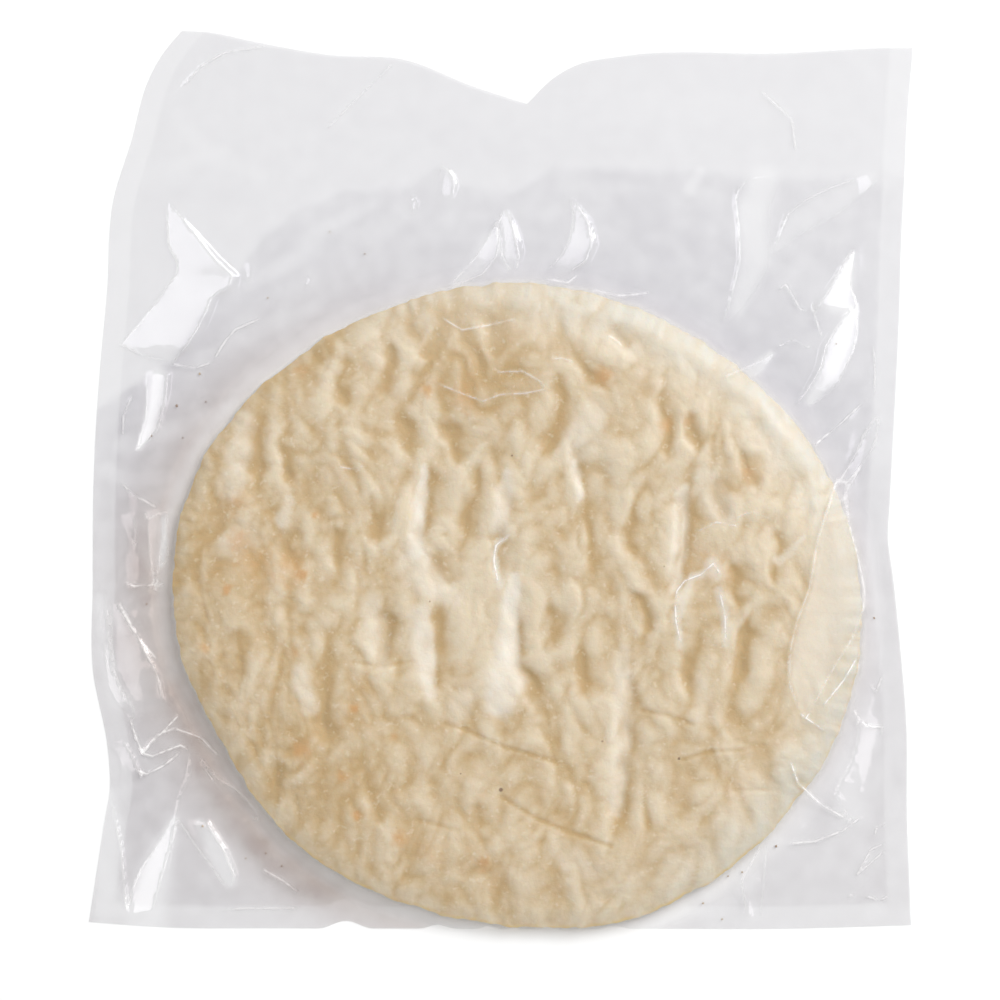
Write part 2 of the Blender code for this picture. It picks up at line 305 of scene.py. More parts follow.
def on_oval(x, y):
    """The turn round the oval of each place, and its reach as a share of the rim's."""
    off_x, off_y = x - CRUST_CENTRE[0], y - CRUST_CENTRE[1]
    long_way = (off_x * math.cos(CRUST_TURN) + off_y * math.sin(CRUST_TURN)) / (CRUST_LENGTH / 2.0)
    short_way = (off_y * math.cos(CRUST_TURN) - off_x * math.sin(CRUST_TURN)) / (CRUST_WIDTH / 2.0)
    turn = np.arctan2(short_way, long_way)
    return turn, np.hypot(long_way, short_way) / rim_wobble(turn)


def rim_wobble(turn):
    """The oval's uneven outline: 1 plus a few waves round it, soft random lumps and listed dents."""
    share = np.ones_like(turn)
    for count, (cosine, sine) in enumerate(RIM_WAVES, start=1):
        share = share + (cosine * np.cos(count * turn) + sine * np.sin(count * turn)) / 1000.0
    around_x, around_y = np.cos(turn) * 6.0 + 40.0, np.sin(turn) * 6.0 + 40.0
    for scale, height, seed in ((1.0, 0.0055, 2), (2.3, 0.0045, 11), (5.2, 0.0034, 12), (9.0, 0.0016, 16)):
        share = share + height * lumps(around_x * scale, around_y * scale, seed)
    for middle, half_width, height in RIM_DENTS:
        off = np.angle(np.exp(1j * (turn + CRUST_TURN - math.radians(middle))))
        share = share + height * bell(off / math.radians(half_width))
    return share


def past_rim(x, y):
    """How far each place lies outside the crust's rim, negative inside it, measured from its centre."""
    turn, share = on_oval(x, y)
    reach = np.hypot(x - CRUST_CENTRE[0], y - CRUST_CENTRE[1])
    return np.where(share > 0.05, reach - reach / np.maximum(share, 0.05), -CRUST_WIDTH / 2.0)


def rounded_size(value, softness):
    """The size of a number without its sign, with the sharp bottom at 0 rounded."""
    return np.sqrt(value * value + softness * softness) - softness


def crumpled(x, y):
    """The big crumples of the upper face, which the film follows too, the depth of the creases, and
    their walls: from -1 on a left wall, where the film is taut and shines, to 1 on a right one.

    Swells and stretched lumps whose size without sign gives round ridges and narrow valleys, and the
    listed creases, each a valley with a straight left wall and a hollow right one.
    """
    bent_x = x + 5.0 * MM * lumps(x / (28.0 * MM), y / (34.0 * MM), 3)
    bent_y = y + 6.0 * MM * lumps(x / (26.0 * MM), y / (30.0 * MM), 4)
    swell = 0.7 * lumps(x / (40.0 * MM), y / (56.0 * MM), 5)
    rough = np.zeros_like(x)
    for size, stretch, height, softness, seed in CRUMPLES:
        lump = lumps(bent_x / (size * MM), bent_y / (size * stretch * MM), seed)
        rough = rough + height * rounded_size(lump, softness)
        bent_x = bent_x + 0.16 * size * MM * lump
    wavy_x = x + 2.2 * MM * lumps(x / (11.0 * MM), y / (11.0 * MM), 17)
    wavy_y = y + 2.2 * MM * lumps(x / (11.0 * MM), y / (11.0 * MM), 18)
    uneven = 1.0 + 0.5 * lumps(x / (14.0 * MM), y / (14.0 * MM), 19)
    crease, taut, wall = np.zeros_like(x), np.zeros_like(x), np.zeros_like(x)
    for depth, left, right, line in CREASES:
        distance, side, share = beside(wavy_x, wavy_y, line)
        ends = smoothstep(share / 0.3) * smoothstep((1.0 - share) / 0.3)
        reach = np.where(side > 0.0, right, left) * MM * (0.5 + 0.5 * ends)
        fall = np.clip(1.0 - distance / reach, 0.0, 1.0) ** np.where(side > 0.0, 1.8, 1.2)
        crease = np.maximum(crease, depth * uneven * fall * (0.2 + 0.8 * ends))
        near = ends * smoothstep(depth) * smoothstep(1.25 - distance / reach)
        taut = np.maximum(taut, near)
        wall = np.where(near > np.abs(wall), near * side, wall)
    slack = 1.0 - 0.6 * in_bubble(x, y, 12.0) - 0.05 * smoothstep((-x - y - 50.0 * MM) / (130.0 * MM))
    return slack * (swell + rough * (1.0 - 0.4 * taut) - 0.85 * crease), crease, wall


def dough_detail(x, y, crease):
    """What the dough's skin has below the film: the creases' bottoms, crinkles, cracks and pores."""
    bent_x = x + 1.5 * MM * lumps(x / (9.0 * MM), y / (9.0 * MM), 13)
    crinkle = 1.0 - np.minimum(rounded_size(lumps(bent_x / (4.2 * MM), y / (6.0 * MM), 14), 0.08) * 2.0, 1.0)
    grain = 0.5 - 0.5 * lumps(x / (2.4 * MM), y / (2.8 * MM), 15)
    left_part = smoothstep((40.0 * MM - x) / (120.0 * MM))
    cut = 0.25 * crease + (0.03 + 0.06 * left_part) * crinkle ** 2 + 0.05 * grain
    for depth, line in CRACKS:
        distance, side, share = beside(x, y, line)
        cut = cut + depth * np.clip(1.0 - distance / CRACK_HALF_WIDTH, 0.0, 1.0)
    return cut


def hollowness(height, passes):
    """How far each point of a grid lies below the mean of its surroundings, which is found by
    taking the mean of each point and its four neighbours, again and again."""
    mean = height
    for _ in range(passes):
        wide = np.pad(mean, 1, mode="edge")
        mean = (wide[:-2, 1:-1] + wide[2:, 1:-1] + wide[1:-1, :-2] + wide[1:-1, 2:] + mean) / 5.0
    return mean - height


def rim_bulge(turn):
    """The height of the rim's bulge: thin at the upper right, rising to thick at the lower left."""
    return RIM_BULGE_HEIGHT + RIM_BULGE_RISE * towards(turn + CRUST_TURN, 243.0, 0.45, 0.65)


def level_near_rim(past):
    """How much of the crumples is left near the rim: all 6 mm inside it, most of them on it."""
    return 0.85 + 0.15 * smoothstep(-past / (6.0 * MM))


def domed(past, crumple, bulge):
    """The crust's height: a quarter of a wave from the level top to the rim's bulge, with the crumples
    on it."""
    share = np.clip(1.0 + past / RIM_ROUND, 0.0, 1.0)
    drop = np.cos(share * math.pi / 2.0)
    slack = RIM_SLACK * smoothstep(1.0 + past / (32.0 * MM))
    dome = bulge + (CRUST_TOP - slack - bulge) * drop
    return dome + (crumple - CRUMPLE_MIDDLE) * MM * level_near_rim(past) * np.maximum(drop, 0.6)


def on_disc(across, up):
    """Puts each square ring of points from -1 to 1 on a circle: x times the root of 1 less half of
    y squared, and the same for y."""
    return np.stack([across * np.sqrt(1.0 - up * up / 2.0), up * np.sqrt(1.0 - across * across / 2.0)], -1)


def square_to_rings(cells, level_ring):
    """A square grid of points from -1 to 1: each one's ring, its place on the outermost circle, and
    its place on the disc whose rim is the ring where the level top ends."""
    line = np.linspace(-1.0, 1.0, cells + 1)
    across, up = np.meshgrid(line, line)
    ring = np.maximum(np.abs(across), np.abs(up))
    outermost = on_disc(across / np.maximum(ring, 1e-9), up / np.maximum(ring, 1e-9))
    inner = on_disc(np.clip(across / level_ring, -1.0, 1.0), np.clip(up / level_ring, -1.0, 1.0))
    return ring, outermost, inner


def to_oval(disc_x, disc_y):
    """Carries the unit disc to the crust: stretched, turned and moved, with its uneven rim."""
    wobble = rim_wobble(np.arctan2(disc_y, disc_x))
    long_way = disc_x * wobble * CRUST_LENGTH / 2.0
    short_way = disc_y * wobble * CRUST_WIDTH / 2.0
    x = long_way * math.cos(CRUST_TURN) - short_way * math.sin(CRUST_TURN) + CRUST_CENTRE[0]
    y = long_way * math.sin(CRUST_TURN) + short_way * math.cos(CRUST_TURN) + CRUST_CENTRE[1]
    return x, y


def grid_quads(rows, columns):
    """The four-cornered faces of a grid of points, row by row, seen from above."""
    index = np.arange(rows * columns).reshape(rows, columns)
    return np.stack([index[:-1, :-1], index[:-1, 1:], index[1:, 1:], index[1:, :-1]], -1).reshape(-1, 4)


def make_piece(name, points, quads, triangles=(), attributes=None):
    """A smooth mesh object from arrays of points and faces, with one number per point where named."""
    mesh = bpy.data.meshes.new(name)
    quads = np.asarray(quads, np.int32).reshape(-1, 4)
    triangles = np.asarray(triangles, np.int32).reshape(-1, 3)
    mesh.vertices.add(len(points))
    mesh.vertices.foreach_set("co", np.asarray(points, np.float32).ravel())
    corners = np.concatenate([quads.ravel(), triangles.ravel()])
    starts = np.concatenate([np.arange(len(quads)) * 4, len(quads) * 4 + np.arange(len(triangles)) * 3])
    mesh.loops.add(len(corners))
    mesh.loops.foreach_set("vertex_index", corners.astype(np.int32))
    mesh.polygons.add(len(starts))
    mesh.polygons.foreach_set("loop_start", starts.astype(np.int32))
    mesh.update(calc_edges=True)
    mesh.validate()
    for label, numbers in (attributes or {}).items():
        attribute = mesh.attributes.new(label, "FLOAT", "POINT")
        attribute.data.foreach_set("value", np.asarray(numbers, np.float32).ravel())
    mesh.shade_smooth()
    piece = bpy.data.objects.new(name, mesh)
    bpy.context.scene.collection.objects.link(piece)
    return piece


def toasting(x, y):
    """How toasted the dough is, from 0 to 1: soft round spots at the listed places and faint patches."""
    toast = 0.25 * smoothstep(lumps(x / (24.0 * MM), y / (30.0 * MM), 21) * 1.4)
    for across, down, radius, strength in TOASTED_SPOTS:
        middle = spot(across, down)
        ragged = 1.0 + 0.35 * lumps(x / (3.0 * MM), y / (3.0 * MM), 22)
        apart = np.hypot(x - middle[0], y - middle[1]) / (radius * MM) * ragged
        toast = toast + strength * np.exp(-apart * apart * 1.6)
    return np.clip(toast, 0.0, 1.0)


def crust_top():
    """The upper face and the round edge: a square grid on the disc, whose outer rings step down the
    edge by a quarter of a sine wave. Gives the points as a grid, and each one's place on the rim."""
    level_ring = 1.0 - 2.0 * RIM_CELLS / CRUST_CELLS
    ring, disc, inner = square_to_rings(CRUST_CELLS, level_ring)
    level_share = 1.0 - RIM_ROUND / (CRUST_WIDTH / 2.0)
    edge_turn = np.clip((ring - level_ring) / (1.0 - level_ring), 0.0, 1.0) * math.pi / 2.0
    edge_share = level_share + (1.0 - level_share) * np.sin(edge_turn)
    on_level = (ring <= level_ring + 1e-6)[..., None]
    place = np.where(on_level, inner * level_share, disc * edge_share[..., None])
    return *to_oval(place[..., 0], place[..., 1]), disc


def crust_below(edge, rim_height):
    """The rings below the rim, which turn under by a quarter of a circle to a level underside and
    shrink to its middle, where one point closes it."""
    rings = []
    for step in range(1, SKIRT_RINGS + 1):
        turn = step / SKIRT_RINGS * math.pi / 2.0
        share = 1.0 - RIM_TUCK / (CRUST_WIDTH / 2.0) * (1.0 - math.cos(turn))
        ring_x, ring_y = to_oval(edge[:, 0] * share, edge[:, 1] * share)
        ring_z = rim_height + (CRUST_UNDERSIDE - rim_height) * math.sin(turn)
        rings.append(np.stack([ring_x, ring_y, ring_z], -1))
    tucked = 1.0 - RIM_TUCK / (CRUST_WIDTH / 2.0)
    for step in range(1, UNDERSIDE_RINGS + 1):
        share = tucked * (1.0 - step / (UNDERSIDE_RINGS + 1.0))
        ring_x, ring_y = to_oval(edge[:, 0] * share, edge[:, 1] * share)
        ring_z = CRUST_UNDERSIDE + 0.15 * MM * (1.0 + lumps(ring_x / (20.0 * MM), ring_y / (20.0 * MM), 9))
        rings.append(np.stack([ring_x, ring_y, ring_z], -1))
    middle = np.array([[CRUST_CENTRE[0], CRUST_CENTRE[1], CRUST_UNDERSIDE]])
    return np.concatenate([*rings, middle])


def crust_looks(x, y, past, compass, relief, wall_side):
    """What the dough's finish reads at each place of the upper face.

    The shade and tone is painted shade: how far it lies below its surroundings, near and wide, more on
    right walls, which face away from the light, and towards the left and bottom, with the listed patches
    of tone. The rim sheen and the highlight are painted light: ramps towards the rim on its lit right
    side, the ribbons and the slack bubble, and a lift on the lower rim. The side is the golden rim, a ramp
    towards the rim, more on the lower side.
    """
    calm = 1.0 - 0.15 * smoothstep((-x - y - 50.0 * MM) / (130.0 * MM))
    # Painted shade: darker in the hollows and on the right walls, which face away from the light.
    shade_and_tone = 0.45 + calm * (1.30 * hollowness(relief, 60) + 0.38 * hollowness(relief, 9)) + 0.12 * wall_side
    # Painted shade: darker towards the left and bottom, the side away from the light.
    shade_and_tone = shade_and_tone + 0.20 * smoothstep((-x - 0.4 * y) / (150.0 * MM))
    across, down = in_steps(x, y)
    for across_at, down_at, radius, amount in TONE_PATCHES:
        shade_and_tone = shade_and_tone + amount * smoothstep(1.3 - np.hypot(across - across_at, down - down_at) / radius)
    shade_and_tone = np.clip(shade_and_tone, -0.6, 1.6)
    patchy = 0.85 + 0.5 * lumps(x / (8.0 * MM), y / (11.0 * MM), 54)
    round_right = towards(compass, 20.0, 0.35)
    # Painted sheen of the film on the rim's lit right side, less in the hollows.
    painted_rim_sheen = round_right * smoothstep(1.0 + past / (25.0 * MM)) * (1.05 - 0.55 * np.clip(shade_and_tone - 0.2, 0.0, 1.0))
    # Painted highlight: on the lit right side, in the ribbons and the slack bubble, and a lift on the lower
    # rim.
    painted_highlight = 0.70 * patchy * round_right * smoothstep(1.0 + past / (40.0 * MM)) * (1.0 - painted_rim_sheen)
    painted_highlight = np.maximum(np.maximum(painted_highlight, sheen_ribbons(x, y)), 0.55 * in_bubble(x, y, 6.0) * (1.0 - painted_rim_sheen))
    low_side = towards(compass, 280.0, 0.2)
    painted_highlight = np.maximum(painted_highlight, 0.30 * patchy * low_side * smoothstep(1.0 + past / (11.0 * MM)))
    downward = np.maximum(-np.sin(compass), 0.0)
    side = smoothstep(1.0 + past / (3.2 * MM)) * (0.55 + 0.45 * downward)
    return shade_and_tone, painted_highlight, painted_rim_sheen, side


def crust_mesh():
    """The closed crust: the grid of the upper face, the rings below its rim, and the faces between."""
    x, y, disc = crust_top()
    past, turn = past_rim(x, y), on_oval(x, y)[0]
    crumple, crease, wall_side = crumpled(x, y)
    detail = dough_detail(x, y, crease)
    z = domed(past, crumple, rim_bulge(turn)) - detail * MM * level_near_rim(past)
    top = np.stack([x, y, z], -1).reshape(-1, 3)

    count = CRUST_CELLS + 1
    index = np.arange(count * count).reshape(count, count)
    loop = np.concatenate([index[0, :-1], index[:-1, -1], index[-1, :0:-1], index[:0:-1, 0]])
    points = np.concatenate([top, crust_below(disc.reshape(-1, 2)[loop], top[loop, 2])])

    around = len(loop)
    first = np.arange(len(top), len(points) - 1).reshape(-1, around)
    chains = np.concatenate([loop[None], first])
    following = np.roll(chains, -1, axis=1)
    wall = np.stack([chains[:-1], chains[1:], following[1:], following[:-1]], -1).reshape(-1, 4)
    pole = np.stack([chains[-1], np.full(around, len(points) - 1), following[-1]], -1)

    relief = (crumple - detail) * level_near_rim(past)
    shade_and_tone, painted_highlight, painted_rim_sheen, side = crust_looks(x, y, past, turn + CRUST_TURN, relief, wall_side)
    below = np.ones(len(points) - len(top))
    attributes = {
        "shade_and_tone": np.concatenate([shade_and_tone.ravel(), 0.5 * below]),
        "toast": toasting(points[:, 0], points[:, 1]),
        "painted_highlight": np.concatenate([painted_highlight.ravel(), 0.0 * below]),
        "painted_rim_sheen": np.concatenate([painted_rim_sheen.ravel(), 0.0 * below]),
        "rim_side": np.concatenate([side.ravel(), below]),
    }
    return make_piece("crust", points, np.concatenate([grid_quads(count, count), wall]), pole, attributes)


class Flow:
    """A number or colour that runs from one shader node to the next, on which sums are written."""

    def __init__(self, finish, socket):
        self.finish = finish
        self.socket = socket

    def sum(self, operation, first, second=0.0):
        return self.finish.node("ShaderNodeMath", {"operation": operation}, {0: first, 1: second})

    def __add__(self, other):
        return self.sum("ADD", self, other)

    def __sub__(self, other):
        return self.sum("SUBTRACT", self, other)

    def __mul__(self, other):
        return self.sum("MULTIPLY", self, other)

    def __truediv__(self, other):
        return self.sum("DIVIDE", self, other)

    def __pow__(self, other):
        return self.sum("POWER", self, other)

    def __rsub__(self, other):
        return self.sum("SUBTRACT", other, self)

    __radd__ = __add__
    __rmul__ = __mul__

    def ramp(self, low, high):
        """0 up to low, 1 from high, and a smooth ramp between."""
        spans = {"Value": self, "From Min": low, "From Max": high}
        settings = {"interpolation_type": "SMOOTHSTEP"}
        return self.finish.node("ShaderNodeMapRange", settings, spans)

    def at_most(self, other):
        return self.sum("MINIMUM", self, other)


class Finish:
    """A material and the nodes that make its finish."""

    def __init__(self, name):
        self.material = bpy.data.materials.new(name)
        self.material.use_nodes = True
        self.tree = self.material.node_tree
        self.tree.nodes.clear()
        self.place = self.node("ShaderNodeTexCoord", output="Object")

    def node(self, kind, settings=None, sockets=None, output=0):
        """Adds one node, sets its settings, then fills its sockets with values or links."""
        node = self.tree.nodes.new(kind)
        for key, value in (settings or {}).items():
            setattr(node, key, value)
        for key, value in (sockets or {}).items():
            if isinstance(value, Flow):
                self.tree.links.new(value.socket, node.inputs[key])
            else:
                node.inputs[key].default_value = value
        return Flow(self, node.outputs[output])

    def attribute(self, name):
        return self.node("ShaderNodeAttribute", {"attribute_name": name}, output="Fac")

    def noise(self, size, detail=2.0, roughness=0.5):
        """Cloudy noise whose clouds are about as wide as size, in metres."""
        sockets = {"Vector": self.place, "Scale": 1.0 / size, "Detail": detail, "Roughness": roughness}
        return self.node("ShaderNodeTexNoise", None, sockets, "Fac")

    def blend(self, first, second, share):
        """A colour between two, as a share of the second."""
        first, second = [c if isinstance(c, Flow) else (*c, 1.0) for c in (first, second)]
        settings = {"data_type": "RGBA"}
        return self.node("ShaderNodeMix", settings, {0: share, 6: first, 7: second}, output=2)

    def distance(self, middle):
        """How far the surface is from a point, in metres."""
        sockets = {0: self.place, 1: middle}
        return self.node("ShaderNodeVectorMath", {"operation": "DISTANCE"}, sockets, output="Value")

    def bump(self, height, distance, strength=1.0):
        sockets = {"Height": height, "Distance": distance, "Strength": strength}
        return self.node("ShaderNodeBump", None, sockets)

    def surface(self, sockets):
        """Ends the material in one Principled shader with these sockets."""
        shader = self.node("ShaderNodeBsdfPrincipled", None, sockets)
        end = self.tree.nodes.new("ShaderNodeOutputMaterial")
        self.tree.links.new(shader.socket, end.inputs["Surface"])
        return self.material


def dough_finish():
    """Matt dough: cream on the ridges, beige and tan in the hollows, which is painted shade, toasted spots,
    painted highlights and sheen, a golden rim.
    """
    finish = Finish("part_baked_dough")
    shade_and_tone = finish.attribute("shade_and_tone")
    cloud = finish.noise(0.030, 3.0, 0.55)
    mottle = finish.noise(0.0055, 4.0, 0.65)
    fine = finish.noise(0.0016, 4.0, 0.65)
    # Painted shade of the hollows, with tone that differs at random: cream, then beige, then tan.
    tone = shade_and_tone + (cloud - 0.5) * 0.85 + (mottle - 0.5) * 0.50 + (fine - 0.5) * 0.18
    colour = finish.blend(CREAM, BEIGE, tone.ramp(-0.25, 0.80))
    colour = finish.blend(colour, TAN_AND_SHADE, tone.ramp(0.45, 1.30) * 0.9)
    toast = finish.attribute("toast") * (0.45 + mottle * 1.0)
    colour = finish.blend(colour, TOAST, toast.ramp(0.08, 1.0) * 0.85)
    flour = finish.noise(0.0026, 2.0, 0.5).ramp(0.60, 0.72) * 0.25
    colour = finish.blend(colour, FLOUR, flour)
    # Painted highlight, then painted sheen on the rim's lit side.
    colour = finish.blend(colour, HIGHLIGHT_CREAM, finish.attribute("painted_highlight") * (0.65 + mottle * 0.5))
    colour = finish.blend(colour, RIM_SHEEN_GREY, finish.attribute("painted_rim_sheen") * (0.45 + mottle * 0.8))
    rim = finish.attribute("rim_side").ramp(0.3, 1.0) * (cloud + mottle - 0.45).ramp(0.35, 0.70)
    colour = finish.blend(colour, GOLDEN, rim * 0.8)
    for across, down, radius in SPECKS:
        x, y = spot(across, down)
        apart = finish.distance((x, y, SPECK_LEVEL)) + (fine - 0.5) * 0.0006
        speck = 1.0 - apart.ramp(radius * 0.45 * MM, radius * 1.15 * MM)
        colour = finish.blend(colour, SPECK_BROWN, speck * 0.8)
    small = finish.noise(0.0032, 3.0, 0.6)
    grain = mottle * 0.9 + small * 0.55 + fine * 0.25 + finish.noise(0.0007, 2.0, 0.6) * 0.06
    normal = finish.bump(grain, 0.0005, 0.65)
    sockets = {
        "Base Color": colour,
        "Roughness": 0.78 + (fine - 0.5) * 0.2,
        "Specular IOR Level": 0.3,
        "Subsurface Weight": 0.35,
        "Subsurface Radius": (1.0, 0.5, 0.25),
        "Subsurface Scale": 4.0 * MM,
        "Normal": normal,
    }
    return finish.surface(sockets)


crust = crust_mesh()
crust.data.materials.append(dough_finish())
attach(crust, "root")
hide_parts("sealed_pouch")

# ---------------------------------------------------------------------------------------------
# The crumbs: bits of baked dough and flour that broke off the crust's rim and were shut in with
# it. They lie loose between the webs, at the left and the lower edge.

# Place in steps, radius in mm.
CRUMBS = ((177, 406, 0.55), (200, 374, 0.45), (152, 436, 0.35), (183, 438, 0.30), (206, 402, 0.30),
          (147, 604, 0.30), (203, 826, 0.40), (246, 858, 0.30), (266, 853, 0.35), (282, 866, 0.30),
          (776, 846, 0.45), (742, 872, 0.35), (728, 876, 0.30), (703, 903, 0.35), (722, 919, 0.30),
          (330, 232, 0.30), (365, 254, 0.30), (268, 298, 0.30), (836, 344, 0.30), (874, 618, 0.35))
CRUMB_LEVEL = 0.75 * MM
CRUMB_SHAPE = (1.0, 1.25, 0.65)
CRUMB_BROWN = (0.20, 0.11, 0.05)
CRUMB_FLOURY = (0.52, 0.40, 0.25)
CRUMB_TURNS = 14
CRUMB_STEPS = 8


def crumb_mesh():
    """Closed lumps: for each, rings of points on a ball, from pole to pole, whose radius is made
    uneven by soft random lumps, and which is flattened to two thirds."""
    around = np.arange(CRUMB_TURNS) * 2.0 * math.pi / CRUMB_TURNS
    polar = np.linspace(0.0, math.pi, CRUMB_STEPS + 1)[1:-1]
    turn, tilt = np.meshgrid(around, polar)
    ball = np.stack([np.sin(tilt) * np.cos(turn), np.sin(tilt) * np.sin(turn), np.cos(tilt)], -1)
    ball = np.concatenate([ball.reshape(-1, 3), [(0.0, 0.0, 1.0), (0.0, 0.0, -1.0)]])
    ring = np.arange(len(ball) - 2).reshape(CRUMB_STEPS - 1, CRUMB_TURNS)
    onward = np.roll(ring, -1, axis=1)
    sides = np.stack([ring[:-1], ring[1:], onward[1:], onward[:-1]], -1).reshape(-1, 4)
    top = np.stack([ring[0], onward[0], np.full(CRUMB_TURNS, len(ball) - 2)], -1)
    bottom = np.stack([onward[-1], ring[-1], np.full(CRUMB_TURNS, len(ball) - 1)], -1)
    points, quads, triangles = [], [], []
    for number, (across_at, down_at, radius) in enumerate(CRUMBS):
        middle_x, middle_y = spot(across_at, down_at)
        noise_x, noise_y = ball[:, 0] * 1.6 + 20.0 + number, ball[:, 1] * 1.6 + ball[:, 2] + 20.0
        uneven = 1.0 + 0.30 * lumps(noise_x, noise_y, 61)
        lump = ball * uneven[:, None] * CRUMB_SHAPE * radius * MM
        points.append(lump + (middle_x, middle_y, CRUMB_LEVEL))
        quads.append(sides + number * len(ball))
        triangles.append(np.concatenate([top, bottom]) + number * len(ball))
    return make_piece("crumbs", np.concatenate(points), np.concatenate(quads), np.concatenate(triangles))


def crumb_finish():
    """Dry, browned dough, some of it paler with flour."""
    finish = Finish("crumbs_of_dough")
    shade = finish.noise(0.012, 1.0, 0.5).ramp(0.35, 0.65)
    colour = finish.blend(CRUMB_BROWN, CRUMB_FLOURY, shade)
    return finish.surface({"Base Color": colour, "Roughness": 0.85})


crumbs = crumb_mesh()
crumbs.data.materials.append(crumb_finish())
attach(crumbs, "root")
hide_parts("sealed_pouch")

# ---------------------------------------------------------------------------------------------
# The back web: a sheet of clear film, 75 micrometres thick, cut with the front one. It lies on
# the surface under the crust, and its left, right and bottom edges are welded to the front web.

LEFT_EDGE = ((-179.0, -192.0), (-172.5, -149.9), (-169.9, -133.4), (-170.8, -116.9), (-177.3, -82.1),
             (-177.3, -46.1), (-176.8, 3.5), (-174.7, 42.1), (-171.2, 81.3), (-168.2, 122.5),
             (-160.8, 146.4), (-152.5, 175.1), (-146.9, 185.1), (-138.6, 195.1))
TOP_EDGE_TO_NOTCH = ((-138.6, 195.1), (-129.0, 194.7), (-106.9, 190.3), (-75.2, 184.7), (-41.7, 182.5),
                     (-12.6, 171.2), (11.3, 163.4))
TOP_EDGE_FROM_NOTCH = ((11.3, 163.4), (23.0, 174.7), (33.0, 180.3), (53.4, 184.2), (124.3, 185.5),
                       (166.0, 187.7), (179.0, 187.7))
RIGHT_EDGE = ((178.1, -193.4), (177.7, -182.1), (176.4, -147.3), (176.0, -103.0), (174.2, -80.8),
              (169.9, -39.1), (168.2, -26.5), (169.0, -8.7), (172.9, 70.0), (173.8, 100.4),
              (175.1, 128.2), (177.0, 165.0), (179.0, 187.7))
BOTTOM_EDGE = ((-179.0, -192.0), (-149.0, -194.2), (-97.0, -194.7), (-30.0, -194.8), (30.0, -195.1),
               (60.0, -194.9), (125.0, -194.9), (178.1, -193.4))
# Where the lowest part of the crust lifts the bottom weld: (middle x, rise, half width) in millimetres.
BOTTOM_SCALLOPS = ((-67.3, 3.3, 12.0), (-27.5, 1.7, 8.0), (-5.6, 1.4, 5.0), (5.6, 0.9, 3.5),
                   (21.3, 1.3, 5.5), (49.1, 1.4, 8.0))
BACK_WEB_CELLS = (120, 130)
BACK_WEB_HEIGHT = 0.15 * MM
BACK_WEB_HAZE = 0.045

FILM_TINT = (0.94, 0.94, 0.96)
HAZE_TINT = (0.215, 0.188, 0.262)
FILM_MIRROR = 0.077
SLANT_MIRROR = 0.7
FILM_ROUGHNESS = 0.09
DENSEST_FILM = 0.95


def curve_point(points, fraction):
    """Points on the smooth curve through the given ones, at fractions of its length.

    Each stretch is a cubic between two points, with the slope at each point taken from its neighbours.
    """
    points = np.array(points, float) * MM
    knots = np.concatenate([[0.0], np.cumsum(np.hypot(*np.diff(points, axis=0).T))])
    slopes = np.gradient(points, knots, axis=0)
    place = np.clip(fraction, 0.0, 1.0) * knots[-1]
    index = np.clip(np.searchsorted(knots, place, side="right") - 1, 0, len(knots) - 2)
    step = (knots[index + 1] - knots[index])[:, None]
    t = (place - knots[index])[:, None] / step
    start = points[index] * (1.0 + 2.0 * t) * (1.0 - t) ** 2 + slopes[index] * step * t * (1.0 - t) ** 2
    end = points[index + 1] * t * t * (3.0 - 2.0 * t) + slopes[index + 1] * step * t * t * (t - 1.0)
    return start + end


def top_edge(fraction):
    """The flap's edge, left to right, with its sharp notch half way."""
    left = curve_point(TOP_EDGE_TO_NOTCH, fraction * 2.0)
    right = curve_point(TOP_EDGE_FROM_NOTCH, fraction * 2.0 - 1.0)
    return np.where(fraction[:, None] < 0.5, left, right)


def bottom_edge(fraction):
    """The bottom weld's edge, left to right, a smooth curve with a cosine hump at each scallop."""
    edge = curve_point(BOTTOM_EDGE, fraction)
    for middle, rise, half_width in BOTTOM_SCALLOPS:
        offset = np.clip((edge[:, 0] - middle * MM) / (half_width * MM), -1.0, 1.0)
        edge[:, 1] += rise * MM * 0.5 * (1.0 + np.cos(math.pi * offset))
    return edge


def on_web(across, up):
    """The place on the pouch for shares of its width and height, given as two lists of equal length.

    The four edges are spanned: the sum of the straight runs from left to right and from bottom to
    top, less the flat sheet through the four corners.
    """
    bottom, top = bottom_edge(across), top_edge(across)
    left, right = curve_point(LEFT_EDGE, up), curve_point(RIGHT_EDGE, up)
    corners = np.array([LEFT_EDGE[0], RIGHT_EDGE[0], LEFT_EDGE[-1], RIGHT_EDGE[-1]]) * MM
    u, v = across[:, None], up[:, None]
    flat = (1 - u) * (1 - v) * corners[0] + u * (1 - v) * corners[1]
    flat = flat + (1 - u) * v * corners[2] + u * v * corners[3]
    return (1 - v) * bottom + v * top + (1 - u) * left + u * right - flat


def web_grid(columns, rows):
    """The web's places as a grid, in even shares of its width and height."""
    across, up = np.meshgrid(np.linspace(0.0, 1.0, columns + 1), np.linspace(0.0, 1.0, rows + 1))
    return on_web(across.ravel(), up.ravel()).reshape(rows + 1, columns + 1, 2)


def edge_distances(place):
    """How far each grid place is from the left, right, bottom and top edge, along its row or column."""
    edges = (place[:, :1], place[:, -1:], place[:1], place[-1:])
    return [np.hypot(*np.moveaxis(place - edge, -1, 0)) for edge in edges]


